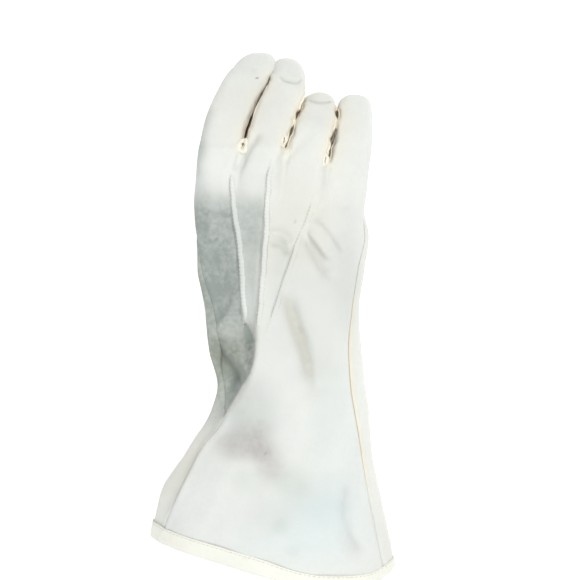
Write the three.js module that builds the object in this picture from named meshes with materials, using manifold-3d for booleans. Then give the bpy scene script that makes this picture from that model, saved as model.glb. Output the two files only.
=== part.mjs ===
// Dress glove: a white right-hand gauntlet glove lying palm down with its fingers
// towards +Y, its back up (+Z) and its thumb folded under the palm.
// Millimetres. The origin is below the middle of the glove, on the surface it rests on.
//
// The glove is cut and sewn from cloth panels, and each panel is one solid here:
// a back panel with three raised tucks, a palm panel, a thumb let into the palm,
// three forchettes (the strips between the fingers) and a cream binding at the hem.
import * as THREE from "three";
import Module from "manifold-3d";

const wasm = await Module();
wasm.setup();

// Driving sizes.

const WALL = 1.2; // cloth of the panels, with its turned-in edges
const THUMB_WALL = 1.2;
const STRIP_WALL = 1; // cloth of the forchettes
const SEAM_PULL = 0.18; // each panel stops this far short of the seam line
const STRIP_PULL = 0.3;
const CROTCH_GAP = 0.2; // trimmed off a forchette where it folds under the panels
const MITRE_LIMIT = 3; // at a sharp corner it may stop this many times shorter
const CLEARANCE = 0.3; // between the thumb and the hole it is sewn into, and at the binding

const ORIGIN = { x: 0.2, y: 2.5 }; // middle of the glove in the tables' own frame

const HEM_ROW = -115; // last row of the cuff, before the hem line bends it
const CROTCH_ROW = 80; // last row of the hand, before the finger crotches bend it
const BINDING_DEPTH = 5; // width of the cream binding
const BINDING_WALL = 2.2; // cloth of the cuff with the folded band on both sides of it
const BINDING_COLUMNS = 60; // points round it

// Section of the binding: how far back from the hem, how far out of the cuff's skin.
const BINDING_PROFILE = [
  { back: 5, out: 0.5 },
  { back: 2.5, out: 0.6 },
  { back: 0.5, out: 0.5 },
  { back: 0, out: -0.27 },
  { back: 0.2, out: -1.7 },
  { back: 5, out: -1.7 },
];

const ARCH_POWER = 2.6; // fullness of the back of the hand across its width
const UNDER_POWER = 5; // the palm lies flatter
const UNDER_GAIN = 1.05;
const BASE_SHIFT = [0.3, 0.75]; // where the palm steps down from the thumb side
const TUBE_POWER = 2.6; // roundness of a finger's section
const SINK_FADE = [0, 0.8]; // the sunken flank starts inside the rounded side
const FOLD_FADE = [0, 0.5]; // and so do the folds

const BLEND_START = 44; // the hand starts to divide into fingers at this row
const KNUCKLE_DRIFT = 0.5; // share of a finger's slant that carries on into the hand
const COLUMNS_PER_FINGER = 5;
const BAND_COLUMNS = 2; // columns across a forchette

// Sections across the glove, from the hem to the fingers. left and right are the
// outline; side is the height of its widest line, top the crest of the back, base
// the underside, each given at the left and at the right. The ridge is a crease
// that runs up the cuff and over the hand: left of it the cloth sinks by drop
// within about reach. seamL and seamR are where the back panel meets the palm.
const BODY = [
  { y: -115, left: -61.8, right: 62.2, sideL: 7, sideR: 9, topL: 34, topR: 33,
    baseL: 0, baseR: 0, ridge: -54.5, drop: 5, reach: 3, seamL: -54.5, seamR: 57 },
  { y: -89.5, left: -56.6, right: 57.4, sideL: 8, sideR: 9.5, topL: 37, topR: 36,
    baseL: 0, baseR: 0, ridge: -48, drop: 6, reach: 3, seamL: -48, seamR: 51 },
  { y: -64.5, left: -42.2, right: 51, sideL: 10, sideR: 10, topL: 39, topR: 37,
    baseL: 0, baseR: 0, ridge: -34.5, drop: 7, reach: 3.5, seamL: -34.5, seamR: 45 },
  { y: -45.5, left: -31, right: 49, sideL: 12, sideR: 11, topL: 40, topR: 37,
    baseL: 2, baseR: 0, ridge: -22, drop: 10, reach: 4, seamL: -22.5, seamR: 41.5 },
  { y: -32.5, left: -27.9, right: 47.1, sideL: 14, sideR: 12, topL: 41, topR: 36,
    baseL: 6, baseR: 0, ridge: -15, drop: 13, reach: 4, seamL: -24, seamR: 39.3 },
  { y: -14.5, left: -31.8, right: 44.8, sideL: 16, sideR: 12, topL: 42, topR: 36,
    baseL: 12, baseR: 0, ridge: -7.5, drop: 13, reach: 5, seamL: -26, seamR: 38.3 },
  { y: 5.5, left: -33.5, right: 44, sideL: 18.5, sideR: 12, topL: 42, topR: 35,
    baseL: 14.6, baseR: -2, ridge: -7, drop: 11, reach: 7, seamL: -29, seamR: 40.3 },
  { y: 25.5, left: -36.8, right: 46.8, sideL: 19.5, sideR: 12, topL: 42, topR: 34,
    baseL: 14.8, baseR: -3, ridge: -5, drop: 10, reach: 8, seamL: -34.8, seamR: 43.3 },
  { y: 43, left: -37.6, right: 48.8, sideL: 20.5, sideR: 13, topL: 42, topR: 33,
    baseL: 14.8, baseR: -1, ridge: -3, drop: 8, reach: 8, seamL: -37.6, seamR: 46.4 },
  { y: 58, left: -38.7, right: 46.3, sideL: 22, sideR: 15, topL: 41, topR: 32,
    baseL: 14.6, baseR: 3, ridge: -2, drop: 1, reach: 8, seamL: -38.7, seamR: 46.3 },
  { y: 70, left: -37.7, right: 47, sideL: 23, sideR: 16.5, topL: 39, topR: 30,
    baseL: 14, baseR: 6, ridge: -2, drop: 0, reach: 8, seamL: -37.6, seamR: 47.6 },
  { y: 80, left: -36.2, right: 49.2, sideL: 24, sideR: 18, topL: 37, topR: 28,
    baseL: 13.5, baseR: 8, ridge: -2, drop: 0, reach: 8, seamL: -36.2, seamR: 49.2 },
];

// Where the hem and the finger crotches lie, across the glove.
const HEM_LINE = [
  { x: -62, y: -109.5 },
  { x: -46, y: -113.7 },
  { x: -28, y: -118.3 },
  { x: -8, y: -124.2 },
  { x: 12, y: -129.2 },
  { x: 31, y: -131 },
  { x: 48, y: -131.4 },
  { x: 62, y: -125 },
];
const CROTCH_LINE = [
  { x: -37, y: 85 },
  { x: -14.5, y: 84.5 },
  { x: 5.5, y: 86 },
  { x: 26.5, y: 79 },
  { x: 48.5, y: 77 },
];
const HEM_BEND = [-40, HEM_ROW];
const CROTCH_BEND = [45, CROTCH_ROW];
const CROTCHES = [-14.5, 6.4, 27.4];

// Soft folds on the back: a ridge (rise > 0) or a valley from one end to the other.
const FOLDS = [
  { x0: 7, y0: 14, x1: 22, y1: -31, width: 5, rise: -1.8 },
  { x0: 17.5, y0: 42, x1: 29, y1: 23, width: 4, rise: -2 },
  { x0: 22, y0: 47, x1: 33, y1: 28, width: 4, rise: 1.4 },
  { x0: -4.5, y0: 93, x1: -20, y1: 72, width: 4, rise: -1.6 },
  { x0: 20, y0: 92, x1: 2, y1: 78, width: 4, rise: -1.6 },
  { x0: -28, y0: -13, x1: -17, y1: -30, width: 4, rise: -2.5 },
  { x0: -22, y0: -15, x1: -14, y1: -25, width: 3, rise: 1.6 },
  { x0: 42, y0: -84, x1: 40, y1: -105, width: 6, rise: -2.2 },
  { x0: 40, y0: -105, x1: 52, y1: -124, width: 6, rise: -2.2 },
  { x0: 14, y0: -34, x1: 14, y1: -70, width: 7, rise: 1.2 },
];

// Fingers: the middle of each section, its width and height, and how far the
// section is turned towards +X. back and palm leave bandL and bandR open, the
// angles each side of the widest line that the forchettes fill.
const FINGERS = [
  {
    name: "index", dome: 10, bandL: 0, bandR: 33,
    path: [
      { x: -25.3, y: 85, z: 25, w: 21.2, h: 22, turn: 1 },
      { x: -23.5, y: 93.5, z: 22.6, w: 21.4, h: 21, turn: 11 },
      { x: -19.7, y: 105.5, z: 18.4, w: 21.3, h: 19, turn: 20 },
      { x: -14.7, y: 117, z: 13.6, w: 21, h: 17, turn: 22 },
      { x: -9.6, y: 126, z: 8.3, w: 20.4, h: 15.5, turn: 6 },
    ],
  },
  {
    name: "middle", dome: 10, bandL: 33, bandR: 33,
    path: [
      { x: -4.1, y: 85.5, z: 26, w: 20, h: 22, turn: 4 },
      { x: -1.3, y: 93.5, z: 24.4, w: 20.2, h: 21, turn: 15 },
      { x: 3, y: 105.5, z: 19.6, w: 20.6, h: 18.5, turn: 20 },
      { x: 7.1, y: 115.5, z: 14.6, w: 19, h: 16.5, turn: 16 },
      { x: 8.6, y: 124, z: 8.4, w: 15.4, h: 15, turn: 4 },
    ],
  },
  {
    name: "ring", dome: 8.8, bandL: 33, bandR: 33,
    path: [
      { x: 17.1, y: 83, z: 23, w: 20.2, h: 20, turn: 8 },
      { x: 20.1, y: 92.5, z: 22, w: 20.2, h: 19, turn: 14 },
      { x: 22.4, y: 100, z: 16, w: 18.9, h: 17, turn: 12 },
      { x: 23.7, y: 104.6, z: 11.6, w: 17.4, h: 15, turn: 6 },
      { x: 24, y: 108, z: 8.4, w: 16, h: 14, turn: 2 },
    ],
  },
  {
    name: "little", dome: 7.4, bandL: 33, bandR: 0,
    path: [
      { x: 38.1, y: 78, z: 18, w: 21.3, h: 19, turn: 2 },
      { x: 40, y: 88, z: 17.4, w: 19.6, h: 18, turn: 8 },
      { x: 41.1, y: 97.5, z: 14.4, w: 18, h: 16.5, turn: 6 },
      { x: 41.6, y: 104, z: 10.6, w: 17, h: 15, turn: 4 },
      { x: 42, y: 107.8, z: 7.8, w: 15.8, h: 13.5, turn: 4 },
    ],
  },
];
const FINGER_ROWS = [0.14, 0.28, 0.43, 0.58, 0.73, 0.87, 1];
const DOME_ANGLES = [28, 54, 74, 90];
const TIP_BLUNT = 0.93; // 1 would bring a fingertip to a point in plan
const BAND_FADE = [0.55, 1]; // along a finger, where its forchette runs to a point
const BAND_END = 0.1; // share of the band's angle left at the end of the path
const SLOPE_REACH = 0.03; // a tube's slope is taken this far each side of a section
const SLOPE_FADE = [0, 0.5]; // its sections start upright, then lean square to the path

// Thumb, from inside the palm to its tip.
const THUMB = {
  dome: 9,
  path: [
    { x: -12, y: -44, z: 19, w: 18, h: 14, turn: -12 },
    { x: -15, y: -32, z: 13.6, w: 20.5, h: 15, turn: -14 },
    { x: -18.6, y: -17, z: 8.6, w: 21.6, h: 14, turn: -12 },
    { x: -22, y: 0, z: 6.7, w: 22.2, h: 13.4, turn: -9 },
    { x: -25.4, y: 20, z: 6.5, w: 22.4, h: 13, turn: -6 },
    { x: -27.2, y: 38, z: 6.4, w: 21.4, h: 12.8, turn: -2 },
    { x: -27.4, y: 51, z: 6.2, w: 18.4, h: 12, turn: 0 },
  ],
};
const THUMB_ROWS = 12;
const THUMB_COLUMNS = 18;
const THUMB_END = { w: 0.6, h: 1 }; // its tip closes in a short flat seam
const THUMB_REACH = 62; // rows of the hand past this one are clear of the thumb
const HAND_STEPS = 40; // points round the hand where the thumb is cut to it

// The three raised tucks on the back, each sewn along a line.
const TUCKS = [
  [
    { x: -20, y: 75 },
    { x: -18.5, y: 55 },
    { x: -16.5, y: 30.5 },
    { x: -14.2, y: 12 },
    { x: -12.4, y: -3 },
  ],
  [
    { x: 1.5, y: 78 },
    { x: -2, y: 62 },
    { x: -4.4, y: 40 },
    { x: -6, y: 18 },
    { x: -7.5, y: -4 },
  ],
  [
    { x: 22, y: 61 },
    { x: 15.5, y: 51 },
    { x: 10.8, y: 37 },
    { x: 3.5, y: 17 },
    { x: -1.6, y: 2 },
    { x: -4.8, y: -8 },
  ],
];
const TUCK_STEPS = 12;
const TUCK_FADE = 0.12; // share of its length over which each end dies away
const TUCK_END = 0.35; // share of its height left at the very end

// Section of a tuck: across its line and up from the panel. Its foot is in the panel.
const TUCK_PROFILE = [
  { across: -1.2, up: -0.6 },
  { across: -1.2, up: 0.35 },
  { across: -0.7, up: 1 },
  { across: 0, up: 1.2 },
  { across: 0.7, up: 1 },
  { across: 1.2, up: 0.35 },
  { across: 1.2, up: -0.6 },
];

// Rows of the panels. The first one stops just short of the binding.
const BODY_ROWS = [
  HEM_ROW + BINDING_DEPTH + CLEARANCE, -103, -96, -89, -82, -75, -68, -61, -54, -47, -41, -35, -29, -22,
  -14.5, -7, 0, 8, 16, 24, 32, 40, 48, 55, 61, 67, 73, CROTCH_ROW,
];

// Small helpers.

const rad = THREE.MathUtils.degToRad;
const mix = THREE.MathUtils.lerp;
const clamp = THREE.MathUtils.clamp;
const FULL_TURN = 360;

function ease(from, to, value) {
  const t = clamp((value - from) / (to - from), 0, 1);
  return t * t * (3 - 2 * t);
}

// Slopes for a curve through a table that doesn't overshoot between its rows.
function slopes(xs, ys) {
  const n = xs.length;
  const d = [];
  for (let i = 0; i < n - 1; i++) {
    d.push((ys[i + 1] - ys[i]) / (xs[i + 1] - xs[i]));
  }
  const m = [d[0]];
  for (let i = 1; i < n - 1; i++) {
    const turns = d[i - 1] * d[i] <= 0;
    m.push(turns ? 0 : (2 * d[i - 1] * d[i]) / (d[i - 1] + d[i]));
  }
  m.push(d[n - 2]);
  return m;
}

// A table read at any value of its first column, as a smooth curve.
function reader(rows, key) {
  const xs = rows.map((row) => row[key]);
  const names = Object.keys(rows[0]).filter((name) => name !== key);
  const columns = names.map((name) => {
    const ys = rows.map((row) => row[name]);
    return { name, ys, m: slopes(xs, ys) };
  });
  return (value) => {
    const at = clamp(value, xs[0], xs[xs.length - 1]);
    let i = 0;
    while (i < xs.length - 2 && at > xs[i + 1]) i++;
    const step = xs[i + 1] - xs[i];
    const t = (at - xs[i]) / step;
    const out = {};
    for (const { name, ys, m } of columns) {
      out[name] =
        ys[i] * (1 + 2 * t) * (1 - t) ** 2 +
        m[i] * step * t * (1 - t) ** 2 +
        ys[i + 1] * t * t * (3 - 2 * t) +
        m[i + 1] * step * t * t * (t - 1);
    }
    return out;
  };
}

const bodyAt = reader(BODY, "y");
const hemAt = reader(HEM_LINE, "x");
const crotchAt = reader(CROTCH_LINE, "x");

// The hand and cuff.

// Rows bend to the hem at one end and to the finger crotches at the other.
function bentRow(x, y) {
  const hem = ease(HEM_BEND[0], HEM_BEND[1], y) * (hemAt(x).y - HEM_ROW);
  const crotch = ease(CROTCH_BEND[0], CROTCH_BEND[1], y) * (crotchAt(x).y - CROTCH_ROW);
  return y + hem + crotch;
}

function foldRise(x, y) {
  let sum = 0;
  for (const f of FOLDS) {
    const dx = f.x1 - f.x0;
    const dy = f.y1 - f.y0;
    const t = clamp(((x - f.x0) * dx + (y - f.y0) * dy) / (dx * dx + dy * dy), 0, 1);
    const off = Math.hypot(x - f.x0 - t * dx, y - f.y0 - t * dy) / f.width;
    sum += f.rise * Math.exp(-off * off);
  }
  return sum;
}

// A point of the hand's surface. turn runs 0 to 1 over the back from left to
// right, and 1 to 2 under the palm from right to left.
function bodyPoint(turn, y) {
  const row = bodyAt(y);
  const across = (1 - Math.cos(Math.PI * turn)) / 2;
  const x = mix(row.left, row.right, across);
  const bent = bentRow(x, y);
  const side = mix(row.sideL, row.sideR, across);
  const off = Math.abs(2 * across - 1);
  let z;
  if (turn <= 1) {
    const arch = Math.sqrt(Math.max(0, 1 - off ** ARCH_POWER));
    const left = Math.max(0, row.ridge - x);
    const sink = row.drop * (1 - Math.exp(-left / row.reach)) * ease(SINK_FADE[0], SINK_FADE[1], arch);
    const top = mix(row.topL, row.topR, across);
    const fold = foldRise(x, bent) * ease(FOLD_FADE[0], FOLD_FADE[1], arch);
    z = side + (top - side) * arch - sink + fold;
  } else {
    const under = Math.sqrt(Math.max(0, 1 - off ** UNDER_POWER));
    const base = mix(row.baseL, row.baseR, ease(BASE_SHIFT[0], BASE_SHIFT[1], across));
    z = side - (side - base) * Math.min(1, UNDER_GAIN * under);
  }
  return new THREE.Vector3(x, bent, Math.max(0, z));
}

function turnAt(x, y) {
  const row = bodyAt(y);
  const across = clamp((x - row.left) / (row.right - row.left), 0, 1);
  return Math.acos(1 - 2 * across) / Math.PI;
}

// Fingers and thumb.

function tubeOf({ path, dome }) {
  const along = path.map((row, i) => ({ ...row, s: i / (path.length - 1) }));
  const at = reader(along, "s");
  const start = at(0);
  const next = at(SLOPE_REACH);
  const slant = (next.x - start.x) / (next.y - start.y);
  return { at, dome, start, slant };
}

// A point of a tube's section: angle 0 is its right side, 90 its top.
function sectionPoint(section, angle, floor = 0) {
  const { x, y, z, w, h, turn } = section;
  const power = 2 / TUBE_POWER;
  const c = Math.cos(rad(angle));
  const s = Math.sin(rad(angle));
  const u = (Math.sign(c) * Math.abs(c) ** power * w) / 2;
  const v = (Math.sign(s) * Math.abs(s) ** power * h) / 2;
  const slope = section.slope ?? 0;
  const lean = v * Math.sin(slope);
  return new THREE.Vector3(
    x + u * Math.cos(rad(turn)) + lean * Math.sin(rad(turn)),
    y - u * Math.sin(rad(turn)) + lean * Math.cos(rad(turn)),
    Math.max(floor, z + v * Math.cos(slope)),
  );
}

// The section a share s of the way along a tube.
function tubeSection(tube, s) {
  const here = tube.at(s);
  const a = tube.at(Math.max(0, s - SLOPE_REACH));
  const b = tube.at(Math.min(1, s + SLOPE_REACH));
  const run = Math.hypot(b.x - a.x, b.y - a.y);
  here.slope = Math.atan2(a.z - b.z, run) * ease(SLOPE_FADE[0], SLOPE_FADE[1], s);
  return here;
}

function domeSection(tube, beta) {
  const last = tubeSection(tube, 1);
  const ahead = tube.dome * Math.sin(rad(beta));
  const flat = Math.cos(last.slope);
  return {
    ...last,
    x: last.x + ahead * flat * Math.sin(rad(last.turn)),
    y: last.y + ahead * flat * Math.cos(rad(last.turn)),
    z: last.z - ahead * Math.sin(last.slope),
    w: last.w * Math.sqrt(1 - (TIP_BLUNT * Math.sin(rad(beta))) ** 2),
    h: last.h * Math.cos(rad(beta)),
  };
}

const fingers = FINGERS.map((finger) => ({ ...finger, tube: tubeOf(finger) }));

// How much of a band's angle is open at s.
function bandShare(s) {
  return mix(1, BAND_END, ease(BAND_FADE[0], BAND_FADE[1], s));
}

// Sections of a finger from its first free row to its tip, each with the share of
// its band angle that a forchette still fills there.
function fingerSections({ tube }) {
  const rows = FINGER_ROWS.map((s) => ({ section: tubeSection(tube, s), band: bandShare(s) }));
  const tips = DOME_ANGLES.map((beta) => ({ section: domeSection(tube, beta), band: 0 }));
  return [...rows, ...tips];
}

// The finger's own section carried back into the hand, to shape the knuckles.
function knuckleSection(finger, y) {
  const { start, slant } = finger.tube;
  const back = CROTCH_ROW - y;
  return { ...start, x: start.x - back * slant * KNUCKLE_DRIFT, y: start.y - back, slope: 0 };
}

// Angle on finger k for a share q across it, on the back (+1) or the palm (-1).
function angleOn(finger, q, side, band) {
  const from = 180 - finger.bandL * band;
  const to = finger.bandR * band;
  return side * mix(from, to, q);
}

// Panels.

// A patch of cloth without thickness. Points less than a micron apart are one point.
const KEYS_PER_MM = 1000;
const TINY = 1e-6;

class Patch {
  constructor() {
    this.points = [];
    this.keys = [];
    this.faces = [];
    this.known = new Map();
  }

  vertex(p) {
    const key = [p.x, p.y, p.z].map((c) => Math.round(c * KEYS_PER_MM)).join();
    if (!this.known.has(key)) {
      this.known.set(key, this.points.length);
      this.points.push(p.clone());
      this.keys.push(key);
    }
    return this.known.get(key);
  }

  triangle(a, b, c) {
    if (a !== b && b !== c && c !== a) this.faces.push([a, b, c]);
  }

  // Rows of points, all the same length; flip turns the faces round.
  grid(rows, flip) {
    const ids = rows.map((row) => row.map((p) => this.vertex(p)));
    for (let i = 0; i < ids.length - 1; i++) {
      for (let j = 0; j < ids[i].length - 1; j++) {
        const [a, b] = [ids[i][j], ids[i][j + 1]];
        const [c, d] = [ids[i + 1][j + 1], ids[i + 1][j]];
        this.triangle(a, ...(flip ? [c, b] : [b, c]));
        this.triangle(a, ...(flip ? [d, c] : [c, d]));
      }
    }
  }

  edges() {
    const open = new Map();
    this.faces.forEach((face, f) => {
      for (let i = 0; i < 3; i++) {
        const [a, b] = [face[i], face[(i + 1) % 3]];
        if (open.has(b + "," + a)) open.delete(b + "," + a);
        else open.set(a + "," + b, { a, b, f });
      }
    });
    return [...open.values()];
  }

  faceNormal([a, b, c]) {
    const [p, q, r] = [this.points[a], this.points[b], this.points[c]];
    return q.clone().sub(p).cross(r.clone().sub(p));
  }

  // Adds this patch's normals to those of its neighbours at the points they share.
  shareNormals(shared) {
    for (const face of this.faces) {
      const n = this.faceNormal(face).normalize();
      for (const id of face) {
        const key = this.keys[id];
        if (!shared.has(key)) shared.set(key, new THREE.Vector3());
        shared.get(key).add(n);
      }
    }
  }

  // Draws the open edges in by a distance, along the surface and square to each edge.
  pull(distance) {
    const inward = new Map();
    for (const { a, b, f } of this.edges()) {
      const along = this.points[b].clone().sub(this.points[a]);
      const push = this.faceNormal(this.faces[f]).cross(along).normalize();
      for (const id of [a, b]) {
        if (!inward.has(id)) inward.set(id, new THREE.Vector3());
        inward.get(id).add(push);
      }
    }
    for (const [id, push] of inward) {
      const corner = Math.min(MITRE_LIMIT, 2 / Math.max(TINY, push.length()));
      this.points[id].addScaledVector(push.normalize(), distance * corner);
      this.points[id].z = Math.max(0, this.points[id].z);
    }
    return this;
  }

  // A closed solid with this patch outside and the same patch a wall thickness in.
  thicken(wall, shared) {
    const n = this.points.length;
    const inner = this.points.map((p, i) => {
      const normal = shared.get(this.keys[i]).clone().normalize();
      return p.clone().addScaledVector(normal, -wall);
    });
    const points = [...this.points, ...inner];
    const faces = [...this.faces];
    for (const [a, b, c] of this.faces) {
      faces.push([a + n, c + n, b + n]);
    }
    for (const { a, b } of this.edges()) {
      faces.push([b, a, a + n], [b, a + n, b + n]);
    }
    return solid(points, faces);
  }
}

function solid(points, faces) {
  const mesh = new wasm.Mesh({
    numProp: 3,
    vertProperties: new Float32Array(points.flatMap((p) => [p.x, p.y, p.z])),
    triVerts: new Uint32Array(faces.flat()),
  });
  return new wasm.Manifold(mesh);
}

const columnCount = COLUMNS_PER_FINGER * fingers.length;
const crotchTurns = [0, ...CROTCHES.map((x) => turnAt(x, CROTCH_ROW)), 1];

// Share of the way across the back at which column j lies.
function columnShare(j) {
  const k = Math.min(fingers.length - 1, Math.floor(j / COLUMNS_PER_FINGER));
  const q = j / COLUMNS_PER_FINGER - k;
  return mix(crotchTurns[k], crotchTurns[k + 1], q);
}

// A point of the back (side 1) or palm (side -1) in column j of row y.
function panelPoint(j, y, side) {
  const row = bodyAt(y);
  const from = turnAt(row.seamL, y);
  const to = turnAt(row.seamR, y);
  const share = columnShare(j);
  const turn = side > 0 ? mix(from, to, share) : mix(2 + from, to, share);
  const flat = bodyPoint(turn > 2 ? turn - 2 : turn, y);
  const weight = ease(BLEND_START, CROTCH_ROW, y);
  if (weight === 0) return flat;
  const k = Math.min(fingers.length - 1, Math.floor(j / COLUMNS_PER_FINGER));
  const q = j / COLUMNS_PER_FINGER - k;
  const round = knucklePoint(k, q, y, side);
  if (q === 0 && k > 0) round.add(knucklePoint(k - 1, 1, y, side)).multiplyScalar(0.5);
  return flat.lerp(round, weight);
}

function knucklePoint(k, q, y, side) {
  const section = knuckleSection(fingers[k], y);
  return sectionPoint(section, angleOn(fingers[k], q, side, 1));
}

function panel(side) {
  const patch = new Patch();
  const columns = Array.from({ length: columnCount + 1 }, (_, j) => j);
  const rows = BODY_ROWS.map((y) => columns.map((j) => panelPoint(j, y, side)));
  patch.grid(rows, side < 0);
  fingers.forEach((finger, k) => {
    const start = k * COLUMNS_PER_FINGER;
    const base = rows[rows.length - 1].slice(start, start + COLUMNS_PER_FINGER + 1);
    const free = fingerSections(finger).map(({ section, band }) =>
      base.map((_, j) => {
        const angle = angleOn(finger, j / COLUMNS_PER_FINGER, side, band);
        return sectionPoint(section, angle);
      }),
    );
    patch.grid([base, ...free], side < 0);
  });
  return patch;
}

// The strip between finger k and the next, folded at the crotch.
function forchette(k) {
  const [near, far] = [fingers[k], fingers[k + 1]];
  const across = Array.from({ length: BAND_COLUMNS + 1 }, (_, i) => 1 - (2 * i) / BAND_COLUMNS);
  const rowOn = (finger, s, right) => {
    const section = tubeSection(finger.tube, s);
    const open = (right ? finger.bandR : finger.bandL) * bandShare(s);
    return across.map((t) => sectionPoint(section, right ? t * open : 180 - t * open));
  };
  const j = (k + 1) * COLUMNS_PER_FINGER;
  const top = panelPoint(j, CROTCH_ROW, 1);
  const bottom = panelPoint(j, CROTCH_ROW, -1);
  const fold = across.map((t) => bottom.clone().lerp(top, (t + 1) / 2));
  const up = FINGER_ROWS.map((s) => rowOn(far, s, false));
  const down = [...FINGER_ROWS].reverse().map((s) => rowOn(near, s, true));
  const patch = new Patch();
  patch.grid([...down, fold, ...up], true);
  return patch;
}

// Closed tubes: thumb, body volume, binding.

// Rings of points joined into one closed skin, with a cap at each end.
function closedTube(rings) {
  const n = rings[0].length;
  const points = rings.flat();
  const faces = [];
  for (let i = 0; i < rings.length - 1; i++) {
    for (let j = 0; j < n; j++) {
      const k = (j + 1) % n;
      const [a, b] = [i * n + j, i * n + k];
      faces.push([a, b, b + n], [a, b + n, a + n]);
    }
  }
  for (const [ring, facing] of [[0, 1], [rings.length - 1, -1]]) {
    const id = points.push(middleOf(rings[ring])) - 1;
    for (let j = 0; j < n; j++) {
      const [a, b] = [ring * n + j, ring * n + ((j + 1) % n)];
      faces.push(facing > 0 ? [a, id, b] : [a, b, id]);
    }
  }
  const made = solid(points, faces);
  return made.volume() > 0 ? made : solid(points, faces.map(([a, b, c]) => [a, c, b]));
}

function thumbRings(grow) {
  const tube = tubeOf(THUMB);
  const sections = [];
  for (let i = 0; i <= THUMB_ROWS; i++) {
    sections.push(tubeSection(tube, i / THUMB_ROWS));
  }
  for (const beta of DOME_ANGLES) {
    sections.push(domeSection(tube, beta));
  }
  const last = sections.length - 1;
  return sections.map((section, i) => {
    const grown = {
      ...section,
      y: section.y + (i < last ? 0 : grow),
      w: Math.max(THUMB_END.w, section.w + 2 * grow),
      h: Math.max(THUMB_END.h, section.h + 2 * grow),
    };
    const ring = [];
    for (let j = 0; j < THUMB_COLUMNS; j++) {
      ring.push(sectionPoint(grown, (FULL_TURN * j) / THUMB_COLUMNS, -grow));
    }
    return ring;
  });
}

function middleOf(ring) {
  const sum = new THREE.Vector3();
  for (const p of ring) {
    sum.addScaledVector(p, 1 / ring.length);
  }
  return sum;
}

// The hand and cuff as one filled shape, a little larger all round.
function bodyVolume(grow) {
  const rings = [];
  for (const y of BODY_ROWS.filter((row) => row <= THUMB_REACH)) {
    const turns = Array.from({ length: HAND_STEPS }, (_, j) => (2 * j) / HAND_STEPS);
    const ring = turns.map((turn) => bodyPoint(turn, y));
    const middle = middleOf(ring);
    for (const p of ring) {
      p.addScaledVector(p.clone().sub(middle).normalize(), grow);
    }
    rings.push(ring);
  }
  return closedTube(rings);
}

// The cream binding: a band folded over the cut edge of the cuff, right round it.
function binding() {
  const step = 2 / BINDING_COLUMNS;
  const points = [];
  const faces = [];
  const n = BINDING_PROFILE.length;
  for (let i = 0; i < BINDING_COLUMNS; i++) {
    const turn = i * step;
    const ahead = bodyPoint((turn + step) % 2, HEM_ROW);
    const behind = bodyPoint((turn + 2 - step) % 2, HEM_ROW);
    const along = ahead.clone().sub(behind).normalize();
    const up = bodyPoint(turn, HEM_ROW + BINDING_DEPTH).sub(bodyPoint(turn, HEM_ROW)).normalize();
    const outward = along.clone().cross(up).normalize();
    for (const { back, out } of BINDING_PROFILE) {
      const p = bodyPoint(turn, HEM_ROW + back).addScaledVector(outward, out);
      p.z = Math.max(0, p.z);
      points.push(p);
    }
  }
  for (let i = 0; i < BINDING_COLUMNS; i++) {
    const next = (i + 1) % BINDING_COLUMNS;
    for (let j = 0; j < n; j++) {
      const [a, b] = [i * n + j, i * n + ((j + 1) % n)];
      const [c, d] = [next * n + ((j + 1) % n), next * n + j];
      faces.push([a, b, c], [a, c, d]);
    }
  }
  return solid(points, faces);
}

const SEARCH_STEPS = 12;
const SEARCH_STEP = 0.1;

// A point of the back's surface over a place on the table, with its normal. The
// search starts in the middle of the back and follows its slope there.
function onBack(x, y) {
  let column = columnCount / 2;
  let row = y;
  for (let k = 0; k < SEARCH_STEPS; k++) {
    const { p, acrossward, upward } = slopeOfBack(column, row);
    const det = acrossward.x * upward.y - acrossward.y * upward.x;
    const [ex, ey] = [x - p.x, y - p.y];
    column = clamp(column + (ex * upward.y - ey * upward.x) / det, 1, columnCount - 1);
    row = clamp(row + (ey * acrossward.x - ex * acrossward.y) / det, HEM_ROW, CROTCH_ROW - 1);
  }
  const { p, acrossward, upward } = slopeOfBack(column, row);
  return { p, normal: acrossward.cross(upward).normalize() };
}

// The back at a column and row, and how it runs on from there in both directions.
function slopeOfBack(column, row) {
  const p = backPoint(column, row);
  const acrossward = backPoint(column + SEARCH_STEP, row).sub(p).divideScalar(SEARCH_STEP);
  const upward = backPoint(column, row + SEARCH_STEP).sub(p).divideScalar(SEARCH_STEP);
  return { p, acrossward, upward };
}

// The back between its columns, as straight lines across.
function backPoint(column, row) {
  const low = Math.floor(column);
  return panelPoint(low, row, 1).lerp(panelPoint(low + 1, row, 1), column - low);
}

// A raised tuck: a low rounded rib along its sewing line, with tapered ends.
function tuck(line) {
  const places = line.map((p, i) => ({ s: i / (line.length - 1), ...p }));
  const at = reader(places, "s");
  const rings = [];
  for (let i = 0; i <= TUCK_STEPS; i++) {
    const s = i / TUCK_STEPS;
    const here = at(s);
    const before = at(Math.max(0, s - SLOPE_REACH));
    const after = at(Math.min(1, s + SLOPE_REACH));
    const { p, normal } = onBack(here.x, here.y);
    const along = new THREE.Vector3(after.x - before.x, after.y - before.y, 0);
    const right = along.cross(normal).normalize();
    const size = mix(TUCK_END, 1, ease(0, TUCK_FADE, Math.min(s, 1 - s)));
    const ring = TUCK_PROFILE.map(({ across, up }) => {
      const rise = up > 0 ? up * size : up;
      return p.clone().addScaledVector(right, across).addScaledVector(normal, rise);
    });
    rings.push(ring);
  }
  return closedTube(rings);
}

// The biggest piece of a cut solid, without the crumbs a cut can leave.
function largest(made) {
  const pieces = made.decompose();
  return pieces.reduce((a, b) => (a.volume() > b.volume() ? a : b));
}

// Assembly.

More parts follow.
